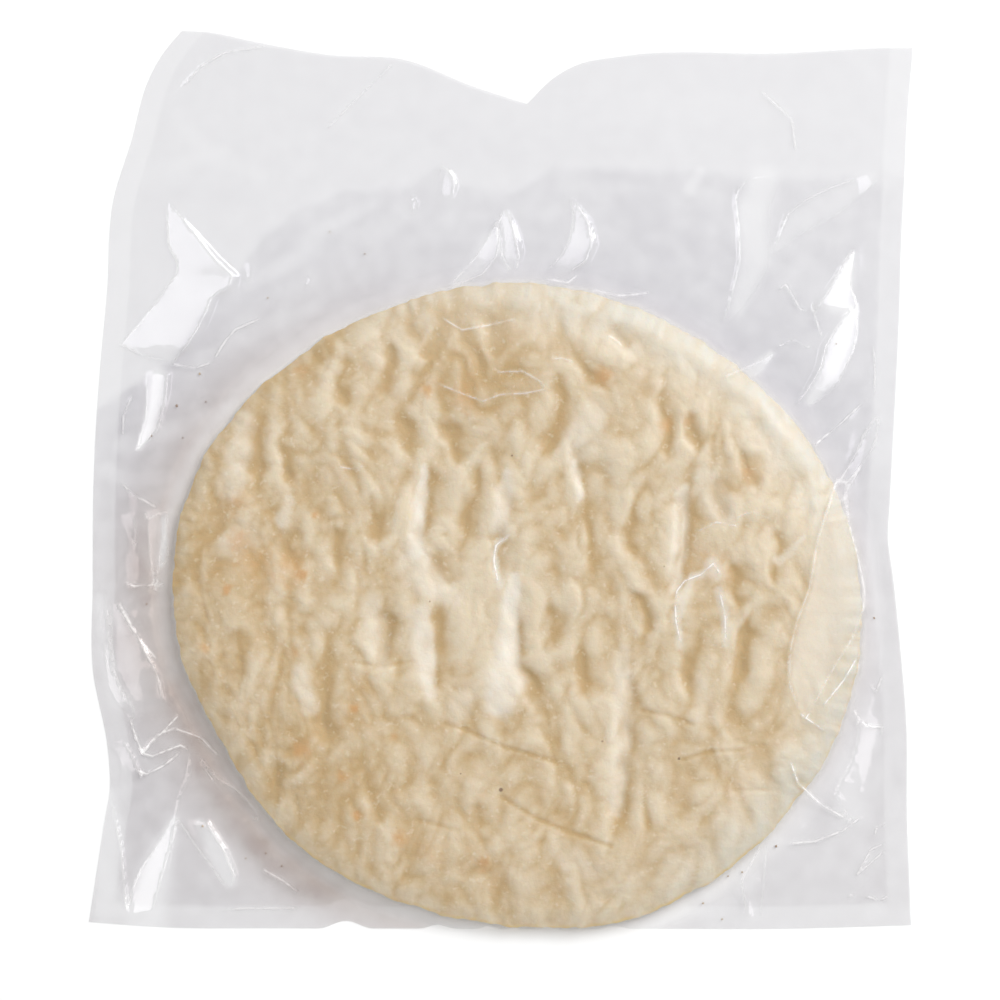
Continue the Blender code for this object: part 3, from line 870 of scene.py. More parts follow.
def level_film_finish():
    """Clear film that lies level: the light that it mirrors, more at a slant, and a faint even haze."""
    finish = Finish("level_film")
    slant = finish.node("ShaderNodeLayerWeight", None, {"Blend": 0.5}, output="Facing")
    mirror = FILM_MIRROR + slant ** 5.0 * SLANT_MIRROR
    mirror_share = mirror / (mirror + BACK_WEB_HAZE)
    sockets = {
        "Base Color": finish.blend(HAZE_TINT, FILM_TINT, mirror_share),
        "Metallic": mirror_share,
        "Roughness": FILM_ROUGHNESS,
        "Alpha": (mirror + BACK_WEB_HAZE).at_most(DENSEST_FILM),
    }
    return finish.surface(sockets)


back_place = web_grid(*BACK_WEB_CELLS)
back_x, back_y = back_place[..., 0], back_place[..., 1]
back_waves = 0.5 + 0.5 * lumps(back_x / (23.0 * MM), back_y / (23.0 * MM), 31)
back_edge = np.minimum.reduce(edge_distances(back_place)[:3])
back_height = BACK_WEB_HEIGHT + 0.35 * MM * back_waves * smoothstep(back_edge / (14.0 * MM))
back_height = np.minimum(back_height, np.where(past_rim(back_x, back_y) < 6.0 * MM, 0.3 * MM, 1.0))
back_points = np.stack([back_x, back_y, back_height], -1).reshape(-1, 3)
back_quads = grid_quads(BACK_WEB_CELLS[1] + 1, BACK_WEB_CELLS[0] + 1)[:, ::-1]
back_web = make_piece("pouch_back_web", back_points, back_quads)
back_web.data.materials.append(level_film_finish())
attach(back_web, "root")
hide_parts("sealed_pouch")

# ---------------------------------------------------------------------------------------------
# The front web: the same film, sucked down on the crust, whose crumples it follows. Past the rim
# it drops to the back web and stands up in creased folds. It is welded 10 mm wide on three sides,
# and above the seal it is loose and a little curled.

FRONT_WEB_CELLS = (300, 328)
WEB_LEVEL = 0.8 * MM
WEB_DROP = 4.5 * MM
WELD_WIDTH = 9.6 * MM
WELD_LEVEL = 0.45 * MM
FILM_GAP = 0.30 * MM
FOLD_DROP = 0.75
FOLD_WHITE = 0.28
HAIR_HALF_WIDTH = 1.3 * MM
HAIR_STANDS = 0.6
HAIR_WHITE = 2.8
# Colours of the painted warm shade beside the rim and of the painted sheen.
WARM_SHADE_BROWN = (0.29, 0.16, 0.09)
SHEEN_WHITE = (0.95, 0.945, 0.93)
# Haze: of the loose flap, what it has more below the seal, and still more at the left, which paints shade
# there; on the dough.
FLAP_HAZE, BELOW_HAZE, LEFT_SHADE_HAZE = 0.083, 0.053, 0.085
DOUGH_HAZE = 0.045
LEAST_HAZE = 0.02
# The lower border of the loose flap and of the slack film beside it, left to right, in steps.
SEAL_LINE = ((60, 430), (120, 395), (172, 363), (212, 300), (240, 272), (262, 240), (290, 215), (330, 198),
             (350, 192), (400, 190), (420, 180), (440, 166), (455, 185), (510, 195), (530, 185), (555, 170),
             (600, 168), (700, 172), (760, 177), (885, 177), (920, 177))
# Standing folds: the foot line, and the ridge line with its height in mm, both top to bottom.
FOLDS = (
    # The large star at the upper left, and the blade below it.
    (((167, 199), (168, 222), (169, 246), (178, 262), (177, 274), (141, 323), (120, 345), (140, 354),
      (172, 363)),
     ((167, 199, 0.0), (192, 230, 1.6), (215, 259, 2.7), (233, 276, 2.9), (230, 287, 2.9), (212, 297, 2.5),
      (205, 316, 2.7), (197, 331, 3.0), (187, 347, 3.3), (172, 363, 0.2))),
    (((147, 373), (147, 400), (146, 419), (136, 453)),
     ((168, 373, 1.5), (167, 390, 1.5), (163, 412, 1.2), (157, 432, 1.0), (136, 453, 0.0))),
    # The small ones beside the crust.
    (((146, 513), (149, 535), (151, 556), (156, 590)),
     ((168, 513, 1.2), (166, 535, 1.0), (161, 556, 0.6), (158, 578, 0.3), (158, 590, 0.0))),
    (((120, 515), (130, 535), (137, 549)), ((134, 517, 0.8), (137, 533, 0.6), (138, 549, 0.1))),
    (((93, 584), (97, 620), (102, 648)), ((106, 586, 0.5), (107, 620, 0.5), (110, 648, 0.35))),
    (((112, 604), (112, 640), (116, 675), (126, 702)),
     ((118, 604, 0.3), (140, 640, 1.2), (158, 675, 1.75), (163, 702, 1.6))),
    (((96, 800), (96, 840), (95, 914)), ((112, 800, 0.6), (122, 850, 1.1), (127, 914, 1.3))),
    (((104, 640), (107, 670), (109, 688), (117, 703), (131, 718)),
     ((109, 640, 0.4), (113, 670, 0.5), (123, 690, 1.1), (134, 707, 1.2), (134, 718, 0.2))),
    (((107, 742), (119, 757), (121, 778)), ((124, 741, 0.9), (134, 758, 1.1), (142, 777, 0.8))),
    # The long ones at the lower left.
    (((175, 812), (160, 840), (143, 866), (132, 890), (127, 914)),
     ((178, 813, 0.2), (172, 840, 0.95), (166, 862, 1.5), (160, 885, 1.9), (152, 914, 1.9))),
    (((190, 751), (187, 774), (177, 798), (173, 815)),
     ((193, 752, 0.3), (191, 774, 0.5), (181, 798, 0.5), (178, 815, 0.5))),
    (((177, 817), (196, 845), (213, 868), (227, 889)),
     ((206, 819, 1.9), (213, 832, 1.9), (224, 849, 1.8), (235, 876, 1.5), (231, 889, 0.2)), 1.3),
    (((194, 753), (214, 781), (229, 794), (246, 808), (260, 824)),
     ((197, 753, 0.3), (219, 778, 0.5), (236, 788, 0.8), (252, 803, 0.6), (262, 824, 0.1))),
    # The sails above the crust.
    (((504, 208), (499, 222), (497, 236), (500, 250), (511, 273)),
     ((505, 208, 0.0), (512, 224, 1.5), (516, 240, 2.0), (519, 255, 1.8), (516, 273, 0.2))),
    (((497, 221), (487, 240), (475, 258), (462, 273), (448, 288)),
     ((498, 221, 0.1), (500, 240, 1.3), (496, 258, 2.0), (482, 275, 1.8), (449, 288, 0.1))),
    (((570, 198), (574, 215), (570, 240), (561, 256), (546, 273)),
     ((572, 198, 0.2), (588, 222, 1.3), (592, 245, 2.0), (585, 262, 2.0), (568, 273, 1.6))),
    (((410, 194), (412, 203), (413, 217)), ((412, 194, 0.3), (418, 203, 0.7), (415, 217, 0.1))),
    (((440, 165), (442, 180), (441, 197)),
     ((442, 165, 0.2), (452, 174, 1.0), (455, 185, 1.2), (452, 197, 1.0))),
    (((245, 266), (247, 282)), ((252, 266, 0.6), (250, 282, 0.3))),
    (((305, 290), (308, 276)), ((308, 290, 0.3), (312, 276, 0.4))),
    # The curved band and the sheet beside it, at the upper right.
    (((784, 176), (776, 192), (770, 205), (770, 243), (767, 271), (750, 298), (728, 326)),
     ((751, 176, 1.1), (738, 190, 1.2), (736, 200, 1.2), (739, 226, 1.1), (740, 260, 1.0), (731, 298, 0.7),
      (722, 326, 0.1))),
    (((883, 177), (838, 214), (796, 237), (774, 255)),
     ((862, 177, 0.1), (830, 188, 1.0), (806, 200, 1.4), (788, 214, 1.5), (772, 255, 0.1))),
    # The long blades at the right.
    (((854, 247), (851, 270), (850, 285), (856, 303), (858, 311)),
     ((853, 247, 0.0), (841, 268, 0.9), (829, 290, 1.7), (819, 305, 2.7), (820, 311, 2.5))),
    (((856, 306), (857, 334), (853, 351), (838, 383), (822, 399), (806, 407)),
     ((853, 306, 0.5), (835, 329, 1.7), (825, 348, 2.2), (821, 367, 1.9), (807, 391, 1.6), (794, 407, 0.2))),
    (((775, 352), (769, 364), (761, 374), (748, 378)),
     ((774, 352, 0.1), (757, 363, 0.9), (740, 370, 1.3), (722, 378, 0.8))),
    (((881, 410), (878, 425), (875, 445), (863, 463), (846, 484)),
     ((879, 410, 0.0), (865, 429, 0.35), (856, 453, 0.5), (842, 477, 0.4), (840, 484, 0.1))),
    # The slack bubble over the crust's right side, and the folds beside it.
    (((845, 480), (849, 526), (857, 555), (864, 589), (863, 608), (850, 640), (838, 657), (825, 679),
      (806, 714)),
     ((836, 480, 0.3), (824, 513, 1.4), (815, 541, 1.8), (807, 589, 2.1), (795, 620, 2.2), (789, 645, 2.1),
      (787, 680, 1.7), (799, 714, 0.2))),
    (((873, 638), (868, 660), (856, 697), (853, 709)),
     ((866, 638, 0.5), (860, 660, 0.6), (850, 697, 0.4), (850, 709, 0.1))),
    (((884, 726), (878, 742), (872, 760), (865, 780), (860, 799), (861, 819)),
     ((857, 721, 0.9), (858, 738, 0.85), (852, 762, 0.85), (841, 780, 0.95), (835, 797, 0.9),
      (850, 819, 0.2)), 1.3),
    (((766, 842), (764, 880), (760, 918)), ((762, 842, 0.2), (741, 880, 1.5), (748, 918, 0.8)), 1.4),
)
# Fine creases: height in mm, then the line in steps.
HAIRS = (
    (0.3, ((130, 717), (137, 739), (143, 753), (153, 756), (165, 751), (181, 745), (190, 750))),
    (0.25, ((143, 753), (160, 735), (180, 714))),
    (0.2, ((145, 750), (157, 735), (175, 728), (201, 737), (220, 756))),
    (0.28, ((135, 768), (147, 774), (163, 766), (181, 752))),
    (0.2, ((118, 600), (141, 640), (159, 661))),
    (0.18, ((172, 364), (195, 368), (215, 362))),
    (0.2, ((215, 359), (223, 345), (235, 330), (262, 318))),
    (0.1, ((146, 520), (162, 513), (172, 510))),
    (0.08, ((169, 540), (168, 560), (153, 575))),
    (0.18, ((126, 582), (134, 586), (164, 584))),
    (0.18, ((120, 482), (135, 495), (158, 508))),
    (0.2, ((123, 436), (124, 415), (133, 395))),
    (0.16, ((222, 911), (240, 908), (300, 908))),
    (0.18, ((262, 868), (283, 880), (300, 893))),
    (0.22, ((864, 401), (840, 424), (813, 446))),
    (0.2, ((778, 290), (786, 284), (793, 297), (800, 309), (807, 311))),
    (0.16, ((873, 345), (875, 370), (874, 395))),
    (0.16, ((777, 347), (793, 340), (812, 349))),
    (0.16, ((812, 303), (816, 320), (822, 338))),
    (0.28, ((788, 758), (797, 782), (821, 804), (847, 819))),
    (0.25, ((788, 843), (815, 841), (843, 830), (860, 817))),
    (0.25, ((799, 713), (812, 722), (823, 729))),
    (0.25, ((856, 657), (841, 681), (821, 705))),
    (0.22, ((853, 708), (857, 716), (867, 726), (884, 727))),
    (0.2, ((887, 842), (871, 849), (857, 874), (872, 861), (887, 849))),
    (0.2, ((887, 823), (876, 828), (875, 834))),
    (0.2, ((847, 896), (855, 895))),
    (0.2, ((865, 896), (880, 900), (889, 896))),
    (0.2, ((870, 684), (876, 692), (882, 676))),
    (0.18, ((268, 46), (225, 53), (202, 66), (183, 87))),
    (0.14, ((395, 62), (360, 96), (325, 131))),
    (0.14, ((760, 90), (792, 120), (796, 152))),
    (0.16, ((545, 279), (568, 283), (578, 275))),
    (0.16, ((590, 290), (620, 296), (650, 293))),
    (0.22, ((674, 602), (676, 590), (684, 580), (700, 574), (712, 563), (720, 575))),
    (0.22, ((674, 602), (675, 622), (680, 643))),
    (0.2, ((718, 590), (724, 615), (724, 640))),
    (0.22, ((507, 537), (496, 545), (494, 560), (498, 582))),
    (0.16, ((695, 532), (715, 522), (738, 526))),
    (0.14, ((440, 317), (462, 331), (490, 326), (518, 319))),
    (0.14, ((433, 382), (462, 394), (483, 402), (501, 395), (525, 394), (549, 389))),
    (0.13, ((496, 373), (523, 372), (538, 381), (546, 388))),
    (0.12, ((551, 360), (562, 359), (573, 363))),
    (0.12, ((607, 336), (616, 341), (623, 350))),
    (0.12, ((340, 467), (352, 469), (366, 466))),
    (0.1, ((734, 517), (750, 512), (762, 516), (770, 520))),
    # The borders of the slack bubble, and of the lens above it.
    (0.13, ((877, 413), (858, 449), (846, 470), (836, 484), *BUBBLE_LEFT[1:])),
    (0.12, ((843, 497), (849, 526), (857, 555), (864, 589), (863, 608), (851, 635), (825, 679), (806, 714))),
    (0.12, ((877, 413), (877, 430), (873, 447), (862, 465), (843, 497))),
)
# Where the film stands off the dough enough to shine: place and half widths in steps.
SHINY_SPOTS = ((500, 560, 14, 32), (700, 605, 34, 44), (678, 520, 10, 40), (422, 520, 12, 50),
               (572, 468, 9, 20), (835, 600, 36, 110), (510, 620, 9, 55), (426, 640, 10, 40),
               (775, 425, 22, 30), (455, 590, 14, 20))
# Patches of painted light on the margin: where the film is hazier, painting shade, or clearer where
# less than 0, painting the white of glints. The share by which the haze is more, then a line in steps
# with the patch's half width.
PAINTED_LIGHT_PATCHES = (
    (-0.6, ((108, 795, 8), (110, 850, 14), (108, 908, 15))),
    (-0.25, ((122, 612, 8), (138, 650, 18), (145, 695, 18))),
    (-0.45, ((100, 600, 6), (104, 650, 7), (118, 700, 9))),
    (-0.8, ((175, 818, 3), (160, 858, 15), (146, 912, 22))),
    (-0.85, ((200, 822, 4), (212, 838, 9), (222, 858, 11), (230, 880, 7))),
    (-0.9, ((164, 518, 2), (165, 540, 3), (162, 566, 2))),
    (-0.25, ((138, 515, 14), (148, 548, 9), (156, 585, 2))),
    (-0.9, ((159, 376, 7), (156, 400, 7), (150, 425, 6), (140, 449, 2))),
    (0.35, ((262, 846, 10), (300, 880, 14), (350, 906, 8))),
    (-0.4, ((870, 730, 10), (852, 770, 14), (846, 812, 12))),
    (-0.55, ((764, 178, 13), (752, 215, 15), (754, 260, 13), (738, 310, 6))),
    (-0.3, ((872, 180, 6), (830, 200, 10), (790, 228, 10), (774, 250, 4))),
    (-0.9, ((852, 255, 3), (845, 280, 8), (838, 300, 12))),
    (-0.9, ((852, 312, 6), (842, 340, 10), (832, 370, 9), (810, 402, 4))),
    (-0.9, ((770, 355, 4), (755, 370, 6), (740, 376, 4))),
    (-0.5, ((508, 215, 5), (506, 240, 8), (506, 265, 8))),
    (-0.5, ((490, 240, 7), (474, 266, 8), (456, 284, 4))),
    (-0.3, ((576, 210, 6), (580, 240, 10), (565, 268, 8))),
    (-0.4, ((700, 172, 5), (690, 190, 6))),
    (-0.25, ((125, 446, 9), (180, 428, 8), (235, 405, 6))),
    (-0.25, ((203, 357, 6), (260, 330, 8), (316, 308, 6))),
    (-0.2, ((250, 285, 6), (290, 262, 8), (330, 225, 8), (372, 205, 6))),
    (-0.25, ((104, 470, 8), (140, 480, 8), (170, 476, 6))),
    (-0.15, ((132, 180, 8), (170, 168, 7), (225, 150, 6))),
    (-0.12, ((180, 120, 10), (205, 150, 8), (262, 176, 6))),
    (0.12, ((150, 205, 10), (200, 190, 9), (262, 200, 8))),
    (0.1, ((420, 130, 16), (520, 150, 18), (640, 140, 14))),
    (-0.1, ((600, 95, 12), (700, 110, 14), (820, 105, 12))),
    (0.25, ((128, 505, 10), (142, 545, 14), (150, 590, 14))),
    (0.5, ((178, 690, 12), (208, 762, 14), (258, 840, 18), (325, 895, 12))),
    (0.2, ((640, 225, 30), (720, 260, 25), (800, 340, 25), (850, 400, 20))),
    (0.25, ((895, 560, 12), (898, 700, 12), (898, 900, 12))),
)


def snap(place, taken, number, line):
    """Moves the nearest grid points onto a bent line, one in each row where the line runs up the
    pack and one in each column where it runs across, so that the film creases right along it."""
    points = np.array([spot(*point[:2]) for point in line])
    for start, end in zip(points, points[1:]):
        way = np.abs(end - start)
        moved = 0 if way[1] >= way[0] else 1
        fixed = 1 - moved
        share = (place[..., fixed] - start[fixed]) / (end[fixed] - start[fixed])
        off = place[..., moved] - start[moved] - share * (end[moved] - start[moved])
        inside = (share >= 0.0) & (share <= 1.0)
        if moved == 1:
            off, inside = off.T, inside.T
        first, second = off[:, :-1], off[:, 1:]
        crossing = (first * second <= 0.0) & inside[:, :-1]
        chosen = np.zeros(off.shape, bool)
        chosen[:, :-1] |= crossing & (np.abs(first) <= np.abs(second))
        chosen[:, 1:] |= crossing & (np.abs(first) > np.abs(second))
        if moved == 1:
            off, chosen = off.T, chosen.T
        chosen[[0, -1], :] = False
        chosen[:, [0, -1]] = False
        free = chosen & (taken == 0)
        place[..., moved] -= np.where(free, off, 0.0)
        taken[chosen] = number


def lean_to(across, down, foot, ridge, curl=1.0):
    """The height of a standing fold in mm: like a lean-to roof it rises from its foot line to its
    ridge line, as a power of the way, falls steeply beyond, and ends as steeply above and below."""
    foot, ridge = np.array(foot, float), np.array(ridge, float)
    foot, ridge = foot[np.argsort(foot[:, 1])], ridge[np.argsort(ridge[:, 1])]
    foot_at = np.interp(down, foot[:, 1], foot[:, 0])
    ridge_at = np.interp(down, ridge[:, 1], ridge[:, 0])
    height = np.interp(down, ridge[:, 1], ridge[:, 2])
    way = np.sign(ridge[:, 0].mean() - foot[:, 0].mean())
    width = np.maximum((ridge_at - foot_at) * way, 0.5)
    run = (across - foot_at) * way
    to_millimetres = STEP / MM
    rise = np.clip(run / width, 0.0, 1.0) ** curl * height
    fall = height - FOLD_DROP * np.maximum(run - width, 0.0) * to_millimetres
    ends = np.minimum(down - ridge[0, 1], ridge[-1, 1] - down) * to_millimetres
    return np.clip(np.minimum(np.minimum(rise, fall), FOLD_DROP * (ends + 1.0)), 0.0, None)


def creased_faces(taken):
    """The grid's triangles: each cell is cut along the diagonal that a crease runs on, if one does."""
    cells = grid_quads(*taken.shape)
    numbers = taken.ravel()[cells]
    across = (numbers[:, 1] == numbers[:, 3]) & (numbers[:, 1] > 0)
    across = across[:, None, None]
    plain = cells[:, [[0, 1, 2], [0, 2, 3]]]
    crossed = cells[:, [[0, 1, 3], [1, 2, 3]]]
    return np.where(across, crossed, plain).reshape(-1, 3)


def standing_height(x, y):
    """How high the creased film stands, in mm: the highest of the folds at each place, and on it the
    fine creases, each a ridge with straight sides."""
    across, down = in_steps(x, y)
    standing = np.zeros_like(x)
    for fold in FOLDS:
        standing = np.maximum(standing, lean_to(across, down, *fold))
    for height, line in HAIRS:
        near = np.clip(1.0 - beside(x, y, line)[0] / HAIR_HALF_WIDTH, 0.0, 1.0)
        standing = standing + HAIR_STANDS * height * near
    return standing


def crease_lines(x, y):
    """How near each place is to a crease, and how white the crease is there: by its height, and
    fading out at its ends. The white is partly the film's own whitening and partly painted glint. Fine
    creases, ridges and the feet of the tall folds count."""
    creases = [(HAIR_WHITE * height, line) for height, line in HAIRS]
    for foot, ridge, *curl in FOLDS:
        tallest = max(point[2] for point in ridge)
        creases.append((FOLD_WHITE * min(tallest / 1.6, 1.0), ridge))
        creases.append((FOLD_WHITE * min(max(tallest - 0.9, 0.0), 1.0), foot))
    near_line, line_white = np.zeros_like(x), np.zeros_like(x)
    for white, line in creases:
        distance, side, share = beside(x, y, line)
        near_line = np.maximum(near_line, np.clip(1.0 - distance / HAIR_HALF_WIDTH, 0.0, 1.0))
        ends = smoothstep(share / 0.1) * smoothstep((1.0 - share) / 0.1)
        line_white = np.maximum(line_white, white * ends * (distance < 2.0 * HAIR_HALF_WIDTH))
    return near_line, line_white


def film_sheen_paint(x, y, past, compass):
    """Painted sheen, the white that the film throws back: in a bell just outside the rim's upper part, all
    over the slack bubble, and in the ribbons, whichever is most."""
    round_top = np.maximum(np.cos(compass - math.radians(90.0)), 0.0)
    painted_sheen = 0.03 * round_top * bell((past - 1.0 * MM) / (5.0 * MM))
    painted_sheen = np.maximum(painted_sheen, 0.10 * in_bubble(x, y, 3.0))
    return np.maximum(painted_sheen, 0.15 * sheen_ribbons(x, y))


def film_cling(x, y, past, wall_side):
    """How closely the film clings: fully up to 5 mm outside the rim, less on the creases' left walls
    and in the shiny spots."""
    across, down = in_steps(x, y)
    cling = smoothstep((11.0 * MM - past) / (6.0 * MM)) * (1.0 - 0.3 * np.maximum(-wall_side, 0.0))
    for middle_x, middle_y, half_x, half_y in SHINY_SPOTS:
        apart = np.hypot((across - middle_x) / half_x, (down - middle_y) / half_y)
        cling = cling * (1.0 - 0.18 * smoothstep(1.6 - apart))
    return cling


def film_haze_and_shade(x, y, past, turn, below_seal, welded):
    """How much the film dims what is behind it, by haze and by painted shade, and how much painted warm
    shade, the dough's colour, it has.

    The haze is a level for the flap and one for below the seal, more at the left as painted shade,
    rumpled by soft lumps and changed in the listed patches of painted light, with bells of painted shade
    in the distance from the rim on the sides that lie in shade, and along the top. Near the rim at the
    lower left and bottom it is lessened, which paints light on the shade there.
    """
    compass = turn + CRUST_TURN
    patches = np.zeros_like(x)
    for strength, line in PAINTED_LIGHT_PATCHES:
        patches = patches + strength * band(x, y, line, 1.7, 1.4)
    # Painted shade: the left part is hazier.
    left_part = smoothstep((-0.08 - x) / 0.10)
    haze_and_shade = (FLAP_HAZE + (BELOW_HAZE + LEFT_SHADE_HAZE * left_part) * below_seal) * (1.0 - 0.4 * welded)
    rumpled = lumps(turn * 7.0, past / (7.0 * MM), 45) + lumps(x / (8.0 * MM), y / (8.0 * MM), 46)
    haze_and_shade = haze_and_shade * (1.0 + 0.14 * rumpled * below_seal) * np.clip(1.0 + patches, 0.0, 2.0)

    # Painted shade beside the rim and in bells outside it, warm brown, on the sides away from the light.
    low_left = smoothstep((np.cos(compass - math.radians(200.0)) + 0.4) / 1.1)
    shade_beside_dough = (0.08 + 0.92 * low_left) * bell(past / (5.0 * MM)) * smoothstep(1.0 + past / MM)
    in_shade = low_left * bell(past / (24.0 * MM)) * smoothstep((past - 2.0 * MM) / (7.0 * MM))
    painted_warm_shade = np.minimum(shade_beside_dough + 0.7 * in_shade + 0.30 * smoothstep((0.05 - y) / 0.12), 1.0)

    # More haze just outside the rim's right side, and painted shade along its top.
    round_right = np.maximum(np.cos(compass - math.radians(35.0)), 0.0)
    upper_edge = towards(compass, 100.0, 0.2) * bell(past / (12.0 * MM))
    haze_and_shade = haze_and_shade + 0.065 * round_right * bell(past / (20.0 * MM)) + 0.045 * upper_edge
    haze_and_shade = DOUGH_HAZE + (haze_and_shade - DOUGH_HAZE) * smoothstep(0.5 + past / (3.0 * MM))
    haze_and_shade = haze_and_shade + 0.03 * shade_beside_dough + 0.13 * in_shade
    # Painted light near the rim at the lower left and bottom, where the haze is lessened, and painted shade
    # in a bell further out at the lower left.
    painted_lift_by_rim = towards(compass, 230.0, 0.5) * bell(past / (8.0 * MM))
    bottom_side = towards(compass, 285.0, -0.4, 1.4)
    lower_left = towards(compass, 228.0, -0.6, 1.6)
    haze_and_shade = np.maximum(haze_and_shade - (0.065 + 0.05 * bottom_side - 0.045 * lower_left) * painted_lift_by_rim, LEAST_HAZE)
    return haze_and_shade + 0.035 * lower_left * bell((past - 13.0 * MM) / (10.0 * MM)), painted_warm_shade


def film_finish():
    """Clear film: it lets most light through, mirrors a little, more at a slant, and is faintly hazy.

    Its two surfaces together mirror nearly twice what one does. The haze is what its weld, its
    loose flap and its clinging part scatter, and it also paints shade. The sheen is painted: the white
    that it throws back where it stands off the dough, and, partly as the film's own whitening, where it
    is creased. The warm shade is painted too: the dough's colour in it beside the rim.
    """
    finish = Finish("clear_film")
    haze_and_shade = finish.attribute("haze_and_shade")
    painted_sheen = finish.attribute("painted_sheen")
    cling = finish.attribute("cling")
    ripple = finish.noise(0.009, 2.0, 0.5)
    broken = finish.noise(0.004, 3.0, 0.6).ramp(0.38, 0.58)
    creased = finish.attribute("line") ** 2.5 * finish.attribute("line_white") * (0.35 + broken * 0.65)
    # The creases' white: partly the film's own whitening, partly painted glint.
    painted_sheen = painted_sheen + creased
    slant = finish.node("ShaderNodeLayerWeight", None, {"Blend": 0.5}, output="Facing")
    mirror = FILM_MIRROR - cling * 0.035 + slant ** 5.0 * SLANT_MIRROR * (1.0 - cling * 0.8)
    scatter = haze_and_shade * (0.75 + ripple * 0.5) + painted_sheen
    alpha = (mirror + scatter).at_most(DENSEST_FILM)
    mirror_share = mirror / (mirror + scatter)
    normal = finish.bump(ripple, 0.0002, 0.4)
    # The haze turns warm brown where painted warm shade lies beside the rim, then white where painted sheen
    # is.
    haze_and_shade_tint = finish.blend(HAZE_TINT, WARM_SHADE_BROWN, finish.attribute("painted_warm_shade"))
    scattered = finish.blend(haze_and_shade_tint, SHEEN_WHITE, painted_sheen / scatter)
    sockets = {
        "Base Color": finish.blend(scattered, FILM_TINT, mirror_share),
        "Metallic": mirror_share,
        "Roughness": FILM_ROUGHNESS + cling * 0.42,
        "Alpha": alpha,
        "Normal": normal,
    }
    return finish.surface(sockets)


front_place = web_grid(*FRONT_WEB_CELLS)
from_weld = np.minimum.reduce(edge_distances(front_place)[:3]) - WELD_WIDTH
taken = np.zeros(front_place.shape[:2], int)
fold_lines = [line for fold in FOLDS for line in fold[:2]] + [line for height, line in HAIRS]
for number, line in enumerate(fold_lines, start=1):
    snap(front_place, taken, number, line)
front_x, front_y = front_place[..., 0], front_place[..., 1]
across, down = in_steps(front_x, front_y)
past = past_rim(front_x, front_y) - 0.9 * MM
turn = on_oval(front_x, front_y)[0]
# On the dough the film follows its crumples, and lies smoother over the slack bubble.
crumple, crease, wall_side = crumpled(front_x, front_y)
bubble = in_bubble(front_x, front_y, 8.0)
bulge = rim_bulge(turn)
on_dough = domed(past, crumple * (1.0 - 0.8 * bubble) + 0.4 * bubble, bulge) + FILM_GAP
# Past the rim it drops, as e to the power of less the distance, to a waved and pleated margin.
seal_wobble = 4.0 * lumps(front_x / (9.0 * MM), front_y / (9.0 * MM), 44)
below_seal = smoothstep(0.5 + (down + seal_wobble - np.interp(across, *np.array(SEAL_LINE).T)) / 12.0)
pleat = lumps(turn * 22.0, past / (40.0 * MM), 42) + 0.4 * lumps(turn * 37.0, past / (30.0 * MM), 43)
drop = np.exp(-np.maximum(past, 0.0) / (WEB_DROP * (1.0 + 0.3 * pleat)))
beyond = WEB_LEVEL + (bulge + FILM_GAP - WEB_LEVEL) * drop
free = smoothstep(from_weld / (12.0 * MM))
wave = 0.5 + 0.5 * lumps(front_x / (26.0 * MM), front_y / (26.0 * MM), 41)
near_rim = np.exp(-np.maximum(past, 0.0) / (16.0 * MM))
loose = beyond + (0.25 + 0.35 * below_seal) * MM * wave * free
loose = loose + 0.35 * MM * np.abs(pleat) * near_rim * below_seal
margin = WELD_LEVEL + (loose - WELD_LEVEL) * np.maximum(free, drop)
front_height = np.where(past < 0.0, on_dough, margin) + standing_height(front_x, front_y) * MM
front_points = np.stack([front_x, front_y, front_height], -1).reshape(-1, 3)
near_line, line_white = crease_lines(front_x, front_y)
welded = smoothstep((0.6 * MM - from_weld) / (1.2 * MM))
haze_and_shade, painted_warm_shade = film_haze_and_shade(front_x, front_y, past, turn, below_seal, welded)
front_looks = {"haze_and_shade": haze_and_shade, "painted_sheen": film_sheen_paint(front_x, front_y, past, turn + CRUST_TURN),
               "cling": film_cling(front_x, front_y, past, wall_side), "painted_warm_shade": painted_warm_shade, "line": near_line,
               "line_white": line_white}
front_web = make_piece("pouch_front_web", front_points, (), creased_faces(taken), front_looks)
front_web.data.materials.append(film_finish())
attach(front_web, "root")
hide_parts("sealed_pouch")

# ---------------------------------------------------------------------------------------------
# The stage: a plain white floor, a low soft light from the upper right that models the crumples,
# and a tall soft box on each side for the film's glints. The camera looks straight down.

CAMERA_PLACE = (-0.0004, -0.0087, 1.6)
CAMERA_LENS = 132.6
FLOOR_SIZE = 6.0
FLOOR_WHITE = (0.88, 0.88, 0.88, 1.0)
WORLD_LIGHT = 0.51


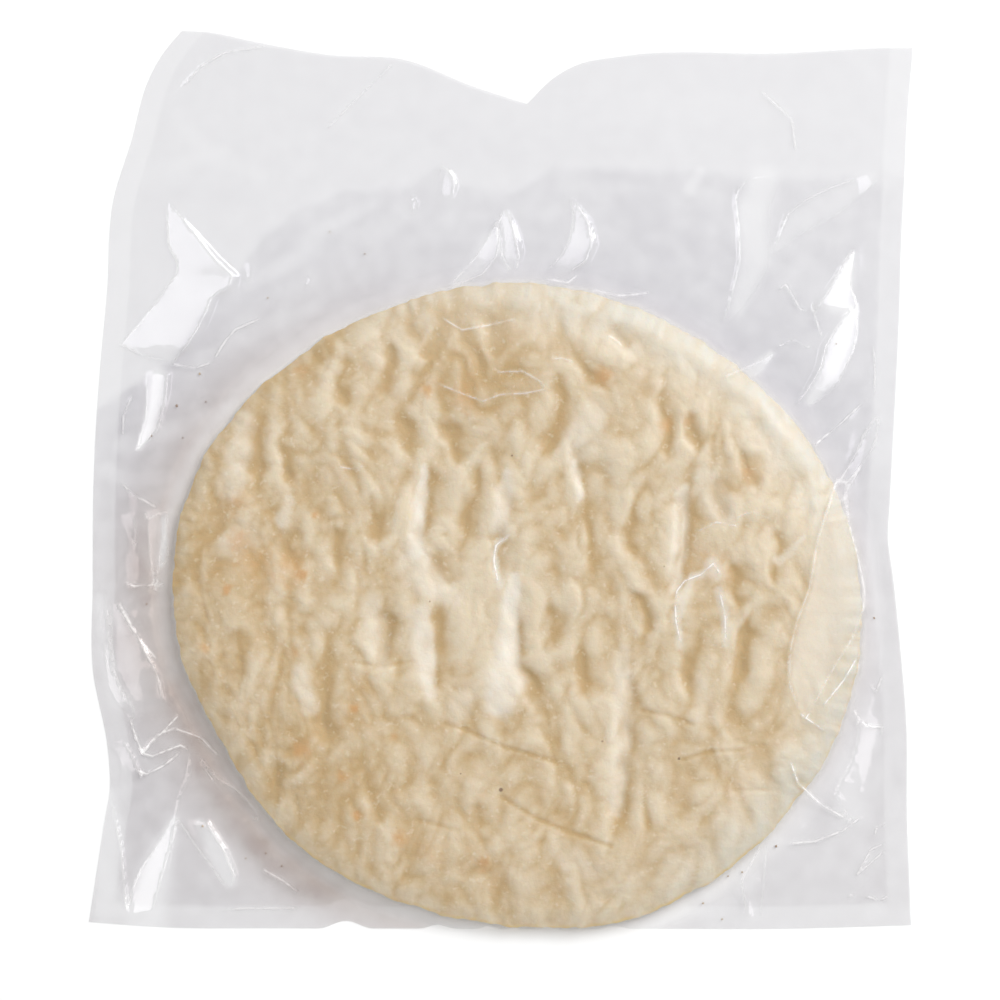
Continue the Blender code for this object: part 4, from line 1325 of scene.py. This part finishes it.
def soft_box(name, azimuth, elevation, distance, size, power):
    """An oblong area light, aimed at the pack from a direction in degrees."""
    lamp = bpy.data.lights.new(name, "AREA")
    lamp.shape = "RECTANGLE"
    lamp.size, lamp.size_y = size
    lamp.energy = power
    holder = bpy.data.objects.new(name, lamp)
    bpy.context.scene.collection.objects.link(holder)
    azimuth, elevation = math.radians(azimuth), math.radians(elevation)
    way = Vector((math.cos(azimuth) * math.cos(elevation), math.sin(azimuth) * math.cos(elevation),
                  math.sin(elevation)))
    holder.location = way * distance
    holder.rotation_euler = way.to_track_quat("Z", "Y").to_euler()


floor_mesh = bpy.data.meshes.new("floor")
half = FLOOR_SIZE / 2.0
floor_corners = [(-half, -half, 0.0), (half, -half, 0.0), (half, half, 0.0), (-half, half, 0.0)]
floor_mesh.from_pydata(floor_corners, [], [(0, 1, 2, 3)])
floor = bpy.data.objects.new("floor", floor_mesh)
bpy.context.scene.collection.objects.link(floor)
floor_finish = Finish("white_floor")
floor_sockets = {"Base Color": FLOOR_WHITE, "Roughness": 0.9, "Specular IOR Level": 0.1}
floor.data.materials.append(floor_finish.surface(floor_sockets))

soft_box("key_low_right", azimuth=42.0, elevation=32.0, distance=4.0, size=(2.6, 1.55), power=132.0)
soft_box("box_right", azimuth=15.0, elevation=60.0, distance=2.2, size=(1.9, 0.62), power=10.5)
soft_box("box_left", azimuth=168.0, elevation=60.0, distance=2.2, size=(1.9, 0.62), power=10.5)

world = bpy.data.worlds.new("studio")
bpy.context.scene.world = world
world.use_nodes = True
background = world.node_tree.nodes["Background"]
background.inputs["Color"].default_value = (1.0, 1.0, 1.0, 1.0)
background.inputs["Strength"].default_value = WORLD_LIGHT

camera_data = bpy.data.cameras.new("camera")
camera_data.lens = CAMERA_LENS
camera_data.sensor_width = 36.0
camera = bpy.data.objects.new("camera", camera_data)
bpy.context.scene.collection.objects.link(camera)
camera.location = CAMERA_PLACE
bpy.context.scene.camera = camera
bpy.context.scene.view_settings.view_transform = "Standard"
